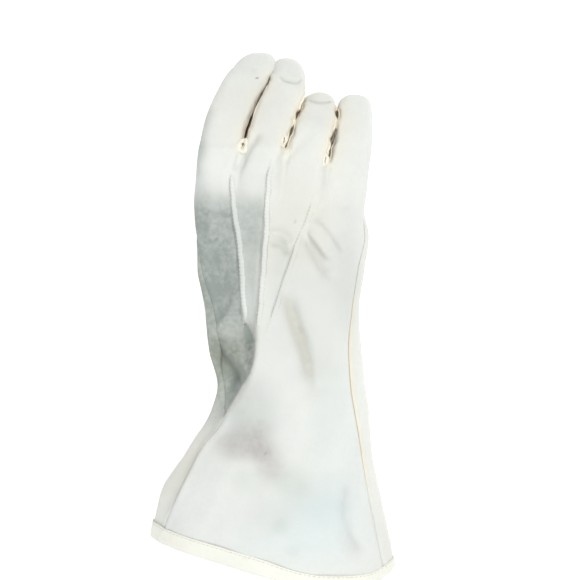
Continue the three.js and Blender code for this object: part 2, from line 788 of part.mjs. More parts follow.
const patches = {
  back_panel: panel(1),
  palm_panel: panel(-1),
  forchette_index_middle: forchette(0),
  forchette_middle_ring: forchette(1),
  forchette_ring_little: forchette(2),
};
const shared = new Map();
for (const patch of Object.values(patches)) patch.shareNormals(shared);
const solids = {};
for (const [name, patch] of Object.entries(patches)) {
  const strip = name.startsWith("forchette");
  patch.pull(strip ? STRIP_PULL : SEAM_PULL);
  solids[name] = patch.thicken(strip ? STRIP_WALL : WALL, shared);
}
for (const name of Object.keys(solids).filter((key) => key.startsWith("forchette"))) {
  for (const gap of [0, CROTCH_GAP]) {
    solids[name] = solids[name]
      .subtract(solids.back_panel.translate([0, 0, -gap]))
      .subtract(solids.palm_panel.translate([0, 0, gap]));
  }
  solids[name] = largest(solids[name]);
}
for (const line of TUCKS) solids.back_panel = solids.back_panel.add(tuck(line));

const thumbSkin = closedTube(thumbRings(0)).subtract(closedTube(thumbRings(-THUMB_WALL)));
solids.thumb = largest(thumbSkin.subtract(bodyVolume(CLEARANCE)));
solids.palm_panel = largest(solids.palm_panel.subtract(closedTube(thumbRings(CLEARANCE))));
solids.hem_binding = binding();

const CLOTH = { color: 0xe9eae2, roughness: 0.92, metalness: 0 };
const CREAM = { color: 0xf3efdc, roughness: 0.9, metalness: 0 };
const COLOURS = {
  back_panel: CLOTH,
  palm_panel: { ...CLOTH, color: 0xdfe1d6 },
  thumb: { ...CLOTH, color: 0xdfe1d6 },
  forchette_index_middle: CREAM,
  forchette_middle_ring: CREAM,
  forchette_ring_little: CREAM,
  hem_binding: CREAM,
};

const glove = new THREE.Group();
glove.name = "dress_glove";
for (const [name, made] of Object.entries(solids)) {
  const placed = made.translate([-ORIGIN.x, -ORIGIN.y, 0]);
  const { vertProperties, triVerts } = placed.getMesh();
  const geometry = new THREE.BufferGeometry();
  geometry.setAttribute("position", new THREE.BufferAttribute(vertProperties, 3));
  geometry.setIndex(new THREE.BufferAttribute(triVerts, 1));
  geometry.computeVertexNormals();
  const mesh = new THREE.Mesh(geometry, new THREE.MeshStandardMaterial(COLOURS[name]));
  mesh.name = name;
  glove.add(mesh);
}

export default glove;
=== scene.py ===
# %% [markdown]
# # A white gauntlet dress glove
#
# The glove lies palm down on a pale table, with its thumb folded under it. This file
# dresses the imported model: every cloth panel is made again as a fine mesh, with its
# seams, tucks, folds and weave, and the imported solids stay behind it for collision,
# hidden.

import math

import bpy
import numpy as np
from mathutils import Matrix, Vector, kdtree, noise


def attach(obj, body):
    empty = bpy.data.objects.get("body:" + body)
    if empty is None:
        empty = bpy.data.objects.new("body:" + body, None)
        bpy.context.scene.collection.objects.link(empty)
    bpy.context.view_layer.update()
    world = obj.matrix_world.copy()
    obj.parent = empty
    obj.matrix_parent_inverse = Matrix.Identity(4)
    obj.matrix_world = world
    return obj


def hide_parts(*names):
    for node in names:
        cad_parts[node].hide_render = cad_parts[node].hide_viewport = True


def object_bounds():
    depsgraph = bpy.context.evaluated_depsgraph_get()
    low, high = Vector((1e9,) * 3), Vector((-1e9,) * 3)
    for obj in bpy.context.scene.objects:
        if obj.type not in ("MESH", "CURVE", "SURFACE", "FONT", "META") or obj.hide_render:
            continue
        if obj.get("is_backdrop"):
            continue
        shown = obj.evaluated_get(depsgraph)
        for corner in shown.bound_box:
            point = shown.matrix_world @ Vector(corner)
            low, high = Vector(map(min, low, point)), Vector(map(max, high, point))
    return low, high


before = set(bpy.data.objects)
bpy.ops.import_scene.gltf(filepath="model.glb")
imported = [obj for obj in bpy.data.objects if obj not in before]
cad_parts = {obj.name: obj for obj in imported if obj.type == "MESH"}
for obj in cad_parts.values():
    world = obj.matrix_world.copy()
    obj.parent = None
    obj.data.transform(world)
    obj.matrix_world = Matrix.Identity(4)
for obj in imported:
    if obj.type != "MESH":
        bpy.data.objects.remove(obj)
cad_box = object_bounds()
MM = 0.001
print("packed nodes:", ", ".join(sorted(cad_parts)))

# %% [markdown]
# ## Smooth tables
#
# The glove's shape comes from short tables: one row for each section across it. A
# reader turns each column into a smooth curve that never overshoots, so the outline
# stays where the rows put it. It works on whole arrays, because a fine mesh asks it
# for many thousands of points.


# %% Blends, and lengths along a line
def ease(start, stop, value):
    t = np.clip((np.asarray(value, float) - start) / (stop - start), 0, 1)
    return t * t * (3 - 2 * t)


def mix(a, b, t):
    return a + (b - a) * t


def bell(off, width=1.0):
    return np.exp(-((off / width) ** 2))


def lengths_along(points):
    """How far along a line each of its points lies."""
    steps = np.linalg.norm(np.diff(points, axis=0), axis=1)
    return np.concatenate([[0.0], np.cumsum(steps)])


# %% A table read as smooth curves
class Table:
    """Rows of numbers read at any value of their first column."""

    def __init__(self, names, rows):
        data = np.array(rows, float)
        self.names, self.x, self.y = names, data[:, 0], data[:, 1:]
        d = np.diff(self.y, axis=0) / np.diff(self.x)[:, None]
        self.m = np.zeros_like(self.y)
        self.m[0], self.m[-1] = d[0], d[-1]
        same = d[:-1] * d[1:] > 0
        total = np.where(same, d[:-1] + d[1:], 1)
        self.m[1:-1] = np.where(same, 2 * d[:-1] * d[1:] / total, 0)

    def __call__(self, value):
        value = np.clip(np.asarray(value, float), self.x[0], self.x[-1])
        i = np.clip(np.searchsorted(self.x, value) - 1, 0, len(self.x) - 2)
        step = (self.x[i + 1] - self.x[i])[..., None]
        t = (value - self.x[i])[..., None] / step
        out = self.y[i] * (1 + 2 * t) * (1 - t) ** 2 + self.m[i] * step * t * (1 - t) ** 2
        out += self.y[i + 1] * t * t * (3 - 2 * t) + self.m[i + 1] * step * t * t * (t - 1)
        return {name: out[..., k] for k, name in enumerate(self.names)}


# %% [markdown]
# ## The hand and the cuff
#
# Each section is a closed ring: an arched back, rounded sides and a flatter palm.
# The left edge of the palm is lifted, because the thumb lies under it. Left of a
# crease the cloth sinks, which makes the shaded flank. The sizes are the packed
# part's own, in millimetres, so the fine cloth lies on its solids.

# %% Sections across the glove
ORIGIN = np.array([0.2, 2.5, 0.0])
HEM_ROW, CROTCH_ROW = -115.0, 80.0

SECTION = [
    "left", "right", "side_left", "side_right", "top_left", "top_right",
    "base_left", "base_right", "ridge", "drop", "reach", "seam_left", "seam_right",
]
body_at = Table(SECTION, [
    (-115, -61.8, 62.2, 7, 9, 34, 33, 0, 0, -57, 5, 2.2, -57, 57),
    (-89.5, -56.6, 57.4, 8, 9.5, 37, 36, 0, 0, -48, 6, 2.2, -48, 51),
    (-64.5, -42.2, 51, 10, 10, 39, 37, 0, 0, -35.9, 7, 2.2, -35.9, 45),
    (-45.5, -31, 49, 12, 11, 40, 37, 2, 0, -22.9, 10, 2, -23.2, 41.5),
    (-32.5, -27.9, 47.1, 14, 12, 41, 36, 6, 0, -15, 13, 2.2, -24, 39.3),
    (-14.5, -31.8, 44.8, 16, 12, 42, 36, 12, 0, -7.5, 13, 3, -26, 38.3),
    (5.5, -33.5, 44, 18.5, 12, 42, 35, 14.6, -2, -7, 11, 6, -29, 40.3),
    (25.5, -36.8, 46.8, 19.5, 12, 42, 34, 14.8, -3, -5, 10, 8, -34.8, 43.3),
    (43, -37.6, 48.8, 20.5, 13, 42, 33, 14.8, -1, -3, 8, 8, -37.6, 46.4),
    (58, -38.7, 46.3, 22, 15, 41, 32, 14.6, 3, -2, 1, 8, -38.7, 46.3),
    (70, -37.7, 47, 23, 16.5, 39, 30, 14, 6, -2, 0, 8, -37.6, 47.6),
    (80, -36.2, 49.2, 24, 18, 37, 28, 13.5, 8, -2, 0, 8, -36.2, 49.2),
])
hem_at = Table(["y"], [
    (-62, -109.5), (-46, -113.7), (-28, -118.3), (-8, -124.2),
    (12, -129.2), (31, -131), (48, -131.4), (62, -125),
])
crotch_at = Table(["y"], [(-37, 85), (-14.5, 84.5), (5.5, 86), (26.5, 79), (48.5, 77)])
CROTCHES = [-14.5, 6.4, 27.4]
HEM_BEND = (-40.0, HEM_ROW)
CROTCH_BEND = (45.0, CROTCH_ROW)

# %% Broad folds in the back: x and y of both ends, width, rise
BROAD_FOLDS = [
    (7, 14, 22, -31, 5, -1.8),
    (17.5, 42, 29, 23, 4, -2),
    (22, 47, 33, 28, 4, 1.4),
    (-4.5, 93, -20, 72, 4, -1.6),
    (20, 92, 2, 78, 4, -1.6),
    (-28, -13, -17, -30, 4, -2.5),
    (-22, -15, -14, -25, 3, 1.6),
    (42, -84, 40, -105, 6, -2.2),
    (40, -105, 52, -124, 6, -2.2),
    (14, -34, 14, -70, 7, 1.2),
]


def broad_rise(x, y):
    total = np.zeros_like(x)
    for x0, y0, x1, y1, width, rise in BROAD_FOLDS:
        dx, dy = x1 - x0, y1 - y0
        t = np.clip(((x - x0) * dx + (y - y0) * dy) / (dx * dx + dy * dy), 0, 1)
        total += rise * bell(np.hypot(x - x0 - t * dx, y - y0 - t * dy), width)
    return total


# %% How a section bends and rises
ARCH_POWER, UNDER_POWER, UNDER_GAIN = 2.6, 5.0, 1.05
BASE_SHIFT = (0.3, 0.75)


def bent_row(x, y):
    """Rows bend to the hem at one end and to the finger crotches at the other."""
    hem = ease(*HEM_BEND, y) * (hem_at(x)["y"] - HEM_ROW)
    crotch = ease(*CROTCH_BEND, y) * (crotch_at(x)["y"] - CROTCH_ROW)
    return y + hem + crotch


def dome(across, power):
    return np.sqrt(np.maximum(0, 1 - np.abs(2 * across - 1) ** power))


def share_across(row, x):
    return (x - row["left"]) / (row["right"] - row["left"])


def turn_at(x, y):
    across = np.clip(share_across(body_at(y), x), 0, 1)
    return np.arccos(1 - 2 * across) / np.pi


def palm_rise(row, across):
    """Height of the palm at a share of the way across its section."""
    side = mix(row["side_left"], row["side_right"], across)
    base = mix(row["base_left"], row["base_right"], ease(*BASE_SHIFT, across))
    return side - (side - base) * np.minimum(1, UNDER_GAIN * dome(across, UNDER_POWER))


# %% A point of the hand's surface
SINK_FADE, FOLD_FADE = (0, 0.8), (0, 0.5)  # the arch's heights over which they fade in


def body_point(turn, y):
    """turn runs 0 to 1 over the back from left to right, 1 to 2 under the palm."""
    turn, y = np.broadcast_arrays(np.asarray(turn, float), np.asarray(y, float))
    row = body_at(y)
    across = (1 - np.cos(np.pi * turn)) / 2
    x = mix(row["left"], row["right"], across)
    bent = bent_row(x, y)
    side = mix(row["side_left"], row["side_right"], across)
    top = mix(row["top_left"], row["top_right"], across)
    arch = dome(across, ARCH_POWER)
    left = np.maximum(0, row["ridge"] - x)
    sink = row["drop"] * (1 - np.exp(-left / row["reach"])) * ease(*SINK_FADE, arch)
    back = side + (top - side) * arch - sink + broad_rise(x, bent) * ease(*FOLD_FADE, arch)
    rise = np.where(turn <= 1, back, palm_rise(row, across))
    return np.stack([x, bent, np.maximum(0, rise)], -1)


knuckles = body_at(58.0)
print("knuckles", round(float(knuckles["right"] - knuckles["left"]), 1), "mm across")

# %% [markdown]
# ## Fingers and thumb
#
# A finger is a tube round a bent path: the fingertips droop towards the table. Every
# section has its own width and height, so a tip can be blunt seen from above and
# flat seen from the side. A finger could also be sculpted, but a path of five rows
# is easier to set against the photograph.

# %% Paths of the fingers and the thumb: x, y, z, width, height, turn
PATH = ["x", "y", "z", "w", "h", "turn"]
FINGERS = [
    dict(name="index", dome=11.3, lean=3.8, band_left=0, band_right=33, path=[
        (-25.3, 85, 25, 21.2, 22, 1),
        (-23.5, 93.5, 22.6, 21.4, 21, 11),
        (-19.7, 105.5, 18.4, 21.3, 19, 20),
        (-14.7, 117, 13.6, 21, 17, 22),
        (-9.6, 126, 8.3, 20.6, 15.5, 3),
    ]),
    dict(name="middle", dome=11.2, lean=-1.2, band_left=33, band_right=33, path=[
        (-4.1, 85.5, 26, 20, 22, 4),
        (-1.3, 93.5, 24.4, 20.2, 21, 15),
        (3, 105.5, 19.6, 20.6, 18.5, 20),
        (7.1, 115.5, 14.6, 19, 16.5, 16),
        (8.2, 124, 8.4, 16.2, 15, 1),
    ]),
    dict(name="ring", dome=9.6, band_left=33, band_right=33, path=[
        (17.1, 83, 23, 20.2, 20, 8),
        (20.1, 92.5, 22, 20.2, 19, 14),
        (22.4, 100, 16, 18.9, 17, 12),
        (23.7, 104.6, 11.6, 17.4, 15, 6),
        (24, 108, 8.4, 16, 14, 2),
    ]),
    dict(name="little", dome=8.0, band_left=33, band_right=0, path=[
        (38.1, 78, 18, 21.3, 19, 2),
        (40, 88, 17.4, 19.6, 18, 8),
        (41.1, 97.5, 14.4, 18, 16.5, 6),
        (41.6, 104, 10.6, 17, 15, 4),
        (42, 107.8, 7.8, 16.2, 13.5, 0),
    ]),
]
THUMB = dict(dome=9, path=[
    (-12, -44, 19, 18, 14, -12),
    (-15, -32, 13.6, 20.5, 15, -14),
    (-18.6, -17, 8.6, 21.6, 14, -12),
    (-22, 0, 6.7, 22.2, 13.4, -9),
    (-25.4, 20, 6.5, 22.4, 13, -6),
    (-27.2, 38, 6.4, 21.4, 12.8, -2),
    (-27.4, 51, 6.2, 18.4, 12, 0),
])
TIP_BLUNT = 0.93


# %% Sections of a tube
TUBE_POWER = 3.7
TIP_POWERS = (3.0, 2.0)  # rounder at the start of a tip and at its end
SLOPE_REACH = 0.03
DROOP_SPAN, ROUNDING_SPAN = (0, 0.5), (0.7, 1)


class Tube:
    """A finger or the thumb, read at a share s of the way along its path."""

    def __init__(self, path, dome, lean=0.0, **_):
        self.at = Table(PATH, [(i / (len(path) - 1), *row) for i, row in enumerate(path)])
        self.dome, self.lean = dome, lean
        self.start, ahead = self.row(0.0) | {"power": TUBE_POWER}, self.row(SLOPE_REACH)
        self.slant = (ahead["x"] - self.start["x"]) / (ahead["y"] - self.start["y"])
        line = self.at(np.linspace(0, 1, 60))
        self.length = float(lengths_along(np.stack([line[k] for k in "xyz"], -1))[-1])

    def row(self, s):
        return {name: float(value) for name, value in self.at(s).items()}

    def section(self, s):
        a, b = self.row(max(0.0, s - SLOPE_REACH)), self.row(min(1.0, s + SLOPE_REACH))
        slope = math.atan2(a["z"] - b["z"], math.hypot(b["x"] - a["x"], b["y"] - a["y"]))
        power = float(mix(TUBE_POWER, TIP_POWERS[0], ease(*ROUNDING_SPAN, s)))
        return self.row(s) | {"slope": slope * float(ease(*DROOP_SPAN, s)), "power": power}

    def tip(self, angle):
        """A section on the rounded end, which closes at an angle of 90."""
        last = self.section(1.0)
        angle, turn = math.radians(angle), math.radians(last["turn"])
        ahead = self.dome * math.sin(angle)
        flat = math.cos(last["slope"])
        return {
            **last,
            "x": last["x"] + ahead * flat * math.sin(turn) + self.lean * ahead / self.dome,
            "y": last["y"] + ahead * flat * math.cos(turn),
            "z": last["z"] - ahead * math.sin(last["slope"]),
            "w": last["w"] * math.sqrt(1 - (TIP_BLUNT * math.sin(angle)) ** 2),
            "h": last["h"] * max(0.0, math.cos(angle)),
            "power": mix(last["power"], TIP_POWERS[1], math.sin(angle)),
        }

    def tips(self, count):
        """Sections over the end of the tube, closer together where it turns down."""
        return [self.tip(90 * float(t) ** 0.85) for t in np.linspace(0, 1, count)[1:]]


# %% A point on a section
def section_point(section, angle):
    """Angle 0 is the right side of a section, 90 its top."""
    angle = np.radians(np.asarray(angle, float))
    power = 2 / section["power"]
    c, s = np.cos(angle), np.sin(angle)
    u = np.sign(c) * np.abs(c) ** power * section["w"] / 2
    v = np.sign(s) * np.abs(s) ** power * section["h"] / 2
    slope, turn = section["slope"], math.radians(section["turn"])
    lean = v * math.sin(slope)
    return np.stack([
        section["x"] + u * math.cos(turn) + lean * math.sin(turn),
        section["y"] - u * math.sin(turn) + lean * math.cos(turn),
        np.maximum(0, section["z"] + v * math.cos(slope)),
    ], -1)


tubes = [Tube(**finger) for finger in FINGERS]
thumb_tube = Tube(**THUMB)
for finger, tube in zip(FINGERS, tubes):
    print(finger["name"], "finger", round(tube.length + tube.dome), "mm from its crotch")

# %% [markdown]
# ## One skin, cut into panels
#
# The real glove is sewn from panels that meet at shared seams. Here the skin is made
# in one go, so neighbouring panels share their seam points exactly and no light
# leaks through. Each face remembers its panel and its place in the cloth, which
# becomes a UV map, so the weave follows the cloth round every bend.

# %% Grid spacing
PER_FINGER = 30
SPACING = 0.9
BAND_COLUMNS = 14
BAND_FADE, BAND_END = (0.55, 1.0), 0.1
crotch_turns = [0.0, *[float(turn_at(x, CROTCH_ROW)) for x in CROTCHES], 1.0]
share_of_column = np.linspace(0, 1, PER_FINGER + 1)


def band_share(s):
    return float(mix(1.0, BAND_END, ease(*BAND_FADE, s)))


def columns_of(k):
    """The columns of the hand's grid that run on into finger k."""
    return slice(k * PER_FINGER, (k + 1) * PER_FINGER + 1)


def finger_sections(tube):
    """Sections from the first free row to the tip, each with its band's share."""
    count = int(tube.length / SPACING)
    rows = [(tube.section(s), band_share(s)) for s in np.linspace(0, 1, count + 1)[1:]]
    rows += [(tip, 0.0) for tip in tube.tips(int(tube.dome * 1.5 / SPACING) + 1)]
    return rows, count


def angles_on(finger, side, band):
    start, stop = 180 - finger["band_left"] * band, finger["band_right"] * band
    return side * mix(start, stop, share_of_column)


print("grid:", len(FINGERS) * PER_FINGER, "columns across,", SPACING, "mm from row to row")

# %% Near the knuckles the hand's rows take the shape of the fingers
BLEND_START, KNUCKLE_DRIFT = 44.0, 0.5


def knuckle_section(tube, y):
    back = CROTCH_ROW - y
    x = tube.start["x"] - back * tube.slant * KNUCKLE_DRIFT
    return {**tube.start, "x": x, "y": tube.start["y"] - back, "slope": 0.0}


def knuckle_row(side, y):
    """A row across the hand in the shape that the fingers start with."""
    sums = np.zeros((len(FINGERS) * PER_FINGER + 1, 3))
    hits = np.zeros(len(sums))
    for k, (tube, finger) in enumerate(zip(tubes, FINGERS)):
        row = section_point(knuckle_section(tube, y), angles_on(finger, side, 1))
        sums[columns_of(k)] += row
        hits[columns_of(k)] += 1
    return sums / hits[:, None]


# %% Rows of the back (side 1) and the palm (side -1)
HEM_START = HEM_ROW + 1.5


def hand_rows(side):
    rows = []
    spans = [mix(a, b, share_of_column[:-1]) for a, b in zip(crotch_turns, crotch_turns[1:])]
    shares = np.concatenate([*spans, [1.0]])
    for y in np.linspace(HEM_START, CROTCH_ROW, int((CROTCH_ROW - HEM_START) / SPACING)):
        row = body_at(y)
        start, stop = turn_at(row["seam_left"], y), turn_at(row["seam_right"], y)
        turn = mix(start if side > 0 else 2 + start, stop, shares)
        points = body_point(np.where(turn > 2, turn - 2, turn), y)
        weight = float(ease(BLEND_START, CROTCH_ROW, y))
        rows.append(mix(points, knuckle_row(side, y), weight) if weight > 0 else points)
    return np.stack(rows)


back_rows, palm_rows = hand_rows(1), hand_rows(-1)
print("hand grid:", back_rows.shape[0], "rows of", back_rows.shape[1], "points")


# %% Where points lie in the cloth
def place_in_cloth(grid, start=(0.0, 0.0), middle=None):
    """Lengths along the cloth, in millimetres, for every point of a grid."""
    middle = grid.shape[1] // 2 if middle is None else middle
    across = np.linalg.norm(np.diff(grid, axis=1), axis=2)
    u = np.concatenate([np.zeros((len(grid), 1)), np.cumsum(across, axis=1)], 1)
    u = u - u[:, middle : middle + 1] + start[0]
    v = lengths_along(grid[:, middle]) + start[1]
    return np.stack([u, np.broadcast_to(v[:, None], u.shape)], -1)


# %% Collect the skin's faces
class Skin:
    """Grids of quads, each owned by a panel of the glove, welded into one surface."""

    def __init__(self):
        self.points, self.faces, self.owners, self.places = [], [], [], []
        self.count = 0

    def add(self, owner, grid, place, flip):
        n, m = grid.shape[:2]
        ids = np.arange(n * m).reshape(n, m)
        a, b, c, d = ids[:-1, :-1], ids[:-1, 1:], ids[1:, 1:], ids[1:, :-1]
        quads = np.stack([a, d, c, b] if flip else [a, b, c, d], -1).reshape(-1, 4)
        self.points.append(grid.reshape(-1, 3))
        self.faces.append(quads + self.count)
        self.places.append(place.reshape(-1, 2)[quads])
        self.owners.append(np.full(len(quads), owner))
        self.count += n * m

    def weld(self):
        points = np.concatenate(self.points)
        _, first, same = np.unique(
            np.round(points, 3), axis=0, return_index=True, return_inverse=True
        )
        self.points = points[first]
        self.faces = same.reshape(-1)[np.concatenate(self.faces)]
        self.places = np.concatenate(self.places)
        self.owners = np.concatenate(self.owners)


# %% The back and the palm, with their halves of the fingers
skin = Skin()
for owner, grid, side in (("back", back_rows, 1), ("palm", palm_rows, -1)):
    place = place_in_cloth(grid)
    skin.add(owner, grid, place, side < 0)
    for k, (tube, finger) in enumerate(zip(tubes, FINGERS)):
        rows = [
            section_point(section, angles_on(finger, side, band))
            for section, band in finger_sections(tube)[0]
        ]
        free = np.stack([grid[-1, columns_of(k)], *rows])
        start = place[-1, k * PER_FINGER + PER_FINGER // 2]
        skin.add(owner, free, place_in_cloth(free, start), side < 0)
print("skin of the back and palm:", skin.count, "points")

# %% [markdown]
# ## Forchettes
#
# A forchette is the narrow strip sewn between two fingers. It runs down one finger,
# folds at the crotch and runs up the next, and it narrows to a point below each tip.

# %% Rows of the three forchettes
band_across = np.linspace(1, -1, BAND_COLUMNS + 1)
STRIPS = ["index_middle", "middle_ring", "ring_little"]


def strip_side(k, right):
    """Rows up one side of finger k; the last one, on its tip, is drawn to a point."""
    widest = FINGERS[k]["band_right" if right else "band_left"]
    sections, count = finger_sections(tubes[k])
    rows = []
    for section, share in sections[: count + 1]:
        angle = band_across * (widest * share)
        rows.append(section_point(section, angle if right else 180 - angle))
    return rows


for k, name in enumerate(STRIPS):
    edge = (k + 1) * PER_FINGER
    fold = mix(palm_rows[-1, edge], back_rows[-1, edge], (band_across[:, None] + 1) / 2)
    strip = np.stack([*strip_side(k, True)[::-1], fold, *strip_side(k + 1, False)])
    skin.add(name, strip, place_in_cloth(strip), True)
skin.weld()
print("skin:", len(skin.points), "points and", len(skin.faces), "faces")


# %% Normals of the skin
def point_normals(points, faces):
    p = points[faces]
    flat = np.cross(p[:, 2] - p[:, 0], p[:, 3] - p[:, 1])
    flat /= np.maximum(1e-9, np.linalg.norm(flat, axis=1))[:, None]
    total = np.stack([
        sum(np.bincount(faces[:, k], flat[:, axis], len(points)) for k in range(4))
        for axis in range(3)
    ], -1)
    return total / np.maximum(1e-9, np.linalg.norm(total, axis=1))[:, None]


normals = point_normals(skin.points, skin.faces)

# %% Distance from each point to the nearest seam
PANELS = ["back", "palm", *STRIPS]


def points_of(owner):
    mask = np.zeros(len(skin.points), bool)
    mask[skin.faces[skin.owners == owner]] = True
    return mask


def tree_of(points):
    tree = kdtree.KDTree(len(points))
    for i, point in enumerate(points):
        tree.insert(point, i)
    tree.balance()
    return tree


def distance_to(points, targets):
    tree = tree_of(targets)
    return np.array([tree.find(p)[2] for p in points])


used = {owner: points_of(owner) for owner in PANELS}
on_seam = np.sum(list(used.values()), axis=0) > 1
panel_edge = on_seam & used["back"] & used["palm"]
on_strip = np.any([used[name] for name in STRIPS], axis=0)
seam_distance = distance_to(skin.points, skin.points[on_seam])
gap_distance = distance_to(skin.points, skin.points[on_seam & on_strip])
print("seam points:", int(on_seam.sum()))

# %% [markdown]
# ## Relief: tucks, seams and folds
#
# Three tucks are sewn into the back: two stand up as narrow rolls, the third is
# pressed flat, and the stitching draws the cloth down beside them. Along every seam
# the cloth rolls in, and soft creases run where the hand bent. Cloth simulation could
# make creases, but not the ones in the photograph, so they are drawn as lines and
# moved along the surface's own normal.

# %% Tuck lines
TUCKS = [
    [(-17.6, 74.2), (-19.4, 70), (-19, 60), (-17.6, 49), (-15.3, 31), (-14.4, 15), (-12.8, -2.5)],
    [(1, 78.5), (-1.3, 71), (-2.3, 58), (-2.8, 45), (-4, 27.5), (-4.9, 15), (-6.8, -6)],
    [(21.5, 61), (17.6, 50), (12.8, 38.5), (8.9, 27.5), (5.4, 17.5), (1.8, 6), (-1.4, -5)],
]
TUCK_HEIGHTS = [1.0, 0.9, 0.22]


def smooth_line(points, count=200):
    far = lengths_along(np.array(points, float))
    at = Table(["x", "y"], [(f, *p) for f, p in zip(far, points)])(np.linspace(0, far[-1], count))
    return np.stack([at["x"], at["y"]], -1)


tuck_lines = [smooth_line(points) for points in TUCKS]
print("tucks:", len(tuck_lines))


# %% Points beside a line
def beside(x, y, line, reach):
    """For the points near a line: which they are, how far right of it, and where along it."""
    low, high = line.min(0) - reach, line.max(0) + reach
    near = np.flatnonzero((x > low[0]) & (x < high[0]) & (y > low[1]) & (y < high[1]))
    dx, dy = x[near, None] - line[:, 0], y[near, None] - line[:, 1]
    k = np.hypot(dx, dy).argmin(1)
    ahead = line[np.minimum(k + 1, len(line) - 1)] - line[np.maximum(k - 1, 0)]
    ahead /= np.linalg.norm(ahead, axis=1)[:, None]
    own = np.arange(len(near)), k
    right = dx[own] * ahead[:, 1] - dy[own] * ahead[:, 0]
    past = np.abs(dx[own] * ahead[:, 0] + dy[own] * ahead[:, 1])
    offset = np.where(right < 0, -1, 1) * np.hypot(right, past)
    return near, offset, k / (len(line) - 1)


def faded(along, start, stop):
    """1 along a line, falling to 0 over a share of it at its start and its end."""
    return ease(0, start, along) * ease(0, stop, 1 - along)

# %% Fine folds: kind, width, rise, and the points of the line
FINE_FOLDS = [
    ("lip", 1.5, 1.1, [(-53.5, -101), (-48, -89), (-41, -75), (-33, -60), (-22.5, -45.5),
                       (-14.5, -32), (-9.6, -24), (-7.6, -12), (-7, -6)]),
    ("soft", 2.2, -1.0, [(-13, 0), (-12, -5), (-9.5, -11.5)]),
    ("soft", 2.0, 1.6, [(-30, -8), (-24, -1), (-18.5, 10), (-17.5, 18)]),
    ("soft", 2.4, -1.8, [(-29, -13), (-22, -24), (-15, -30)]),
    ("soft", 1.8, 1.6, [(-21, -14.5), (-15, -20), (-11.5, -24)]),
    ("soft", 1.8, -1.8, [(-14.5, -9), (-10.5, -14)]),
    ("crease", 0.9, -1.0, [(-28.5, 11), (-27, 6), (-25.5, 0.5)]),
    ("soft", 2.0, 1.9, [(-2.5, 43.5), (4, 43), (10, 38.5)]),
    ("soft", 1.6, -1.5, [(-2, 38.5), (4.5, 38), (8.5, 32)]),
    ("soft", 2.3, 2.5, [(17, 46), (23.5, 38.5), (30, 30)]),
    ("soft", 1.8, -1.5, [(16.5, 42.5), (22, 32.5), (26, 25), (31, 22)]),
    ("crease", 1.1, -0.8, [(20.5, 51.5), (28, 44), (35, 33)]),
    ("soft", 2.6, -1.2, [(7.5, 14), (10.5, 2), (16, -11.5), (19.5, -30)]),
    ("soft", 2.6, 0.8, [(13, 12), (17, -1), (23.5, -16)]),
    ("crease", 0.9, -0.9, [(-10, 128.5), (-8.5, 123.5), (-5, 121)]),
    ("crease", 0.9, -1.4, [(3, 123.5), (6.5, 120), (12, 119), (15.8, 122)]),
    ("crease", 0.9, -1.6, [(17.5, 111.2), (24.5, 109.8), (31, 111)]),
    ("soft", 2.0, -1.1, [(-4, 94), (-13, 81), (-18.5, 72)]),
    ("soft", 2.2, 0.5, [(-9, 95), (-18, 82), (-23, 72)]),
    ("soft", 2.4, -0.8, [(20.5, 95), (8, 82), (0, 76.5)]),
    ("soft", 3.0, 0.5, [(26, 70), (34, 52), (40, 40)]),
    ("soft", 4.0, 0.5, [(-6, -36), (-20, -70), (-36, -104)]),
    ("soft", 5.0, -0.5, [(2, -40), (-6, -76), (-18, -112)]),
    ("soft", 4.0, 0.5, [(14, -34), (14.5, -52), (14, -70)]),
    ("lip", 1.8, -0.6, [(37.5, -76), (34.5, -92), (35.5, -102), (40.5, -112), (47, -117)]),
]


def fold_shape(kind, t):
    """A crease is sharp, a soft fold is a bell, a lip rises right of its line and dips left."""
    if kind == "crease":
        return np.exp(-np.abs(t) * 1.2)
    if kind == "lip":
        return np.where(t > 0, bell(t, 1.8), -bell(t, 1.1)) * np.tanh(np.abs(2.5 * t))
    return bell(t)


# %% Tucks and folds of the back
FACES_UP, ELSEWHERE = 0.05, 999.0
GROOVE_PLACE, GROOVE_WIDTH, GROOVE_DEPTH = 2.2, 0.9, 0.9  # right of a tuck
SWELL_RISE, SWELL_RIGHT, SWELL_LEFT = 0.75, 0.8, 2.2
TUCK_REACH, TUCK_ENDS, FOLD_ENDS = 9, (0.1, 0.12), (0.22, 0.22)
x, y, z = skin.points.T
x_over = np.where(used["back"] & (normals[:, 2] > FACES_UP), x, ELSEWHERE)
relief = np.zeros(len(x))
for line, height in zip(tuck_lines, TUCK_HEIGHTS):
    near, offset, along = beside(x_over, y, line, TUCK_REACH)
    fade = height * faded(along, *TUCK_ENDS)
    relief[near] -= GROOVE_DEPTH * fade * bell(offset - GROOVE_PLACE, GROOVE_WIDTH)
    relief[near] += SWELL_RISE * fade * bell(offset, np.where(offset > 0, SWELL_RIGHT, SWELL_LEFT))
for kind, width, rise, points in FINE_FOLDS:
    near, offset, along = beside(x_over, y, smooth_line(points), width * 4)
    relief[near] += rise * faded(along, *FOLD_ENDS) * fold_shape(kind, offset / width)
print("folds of the back:", len(FINE_FOLDS))


# %% Seams and puckers of the whole skin
def soft_noise(points, size, seed):
    """Smooth noise in lumps of about this size, in millimetres."""
    shift = Vector((seed * 17.3, seed * 5.1, seed * 9.7))
    return np.array([noise.noise(Vector(p) / size + shift) for p in points])


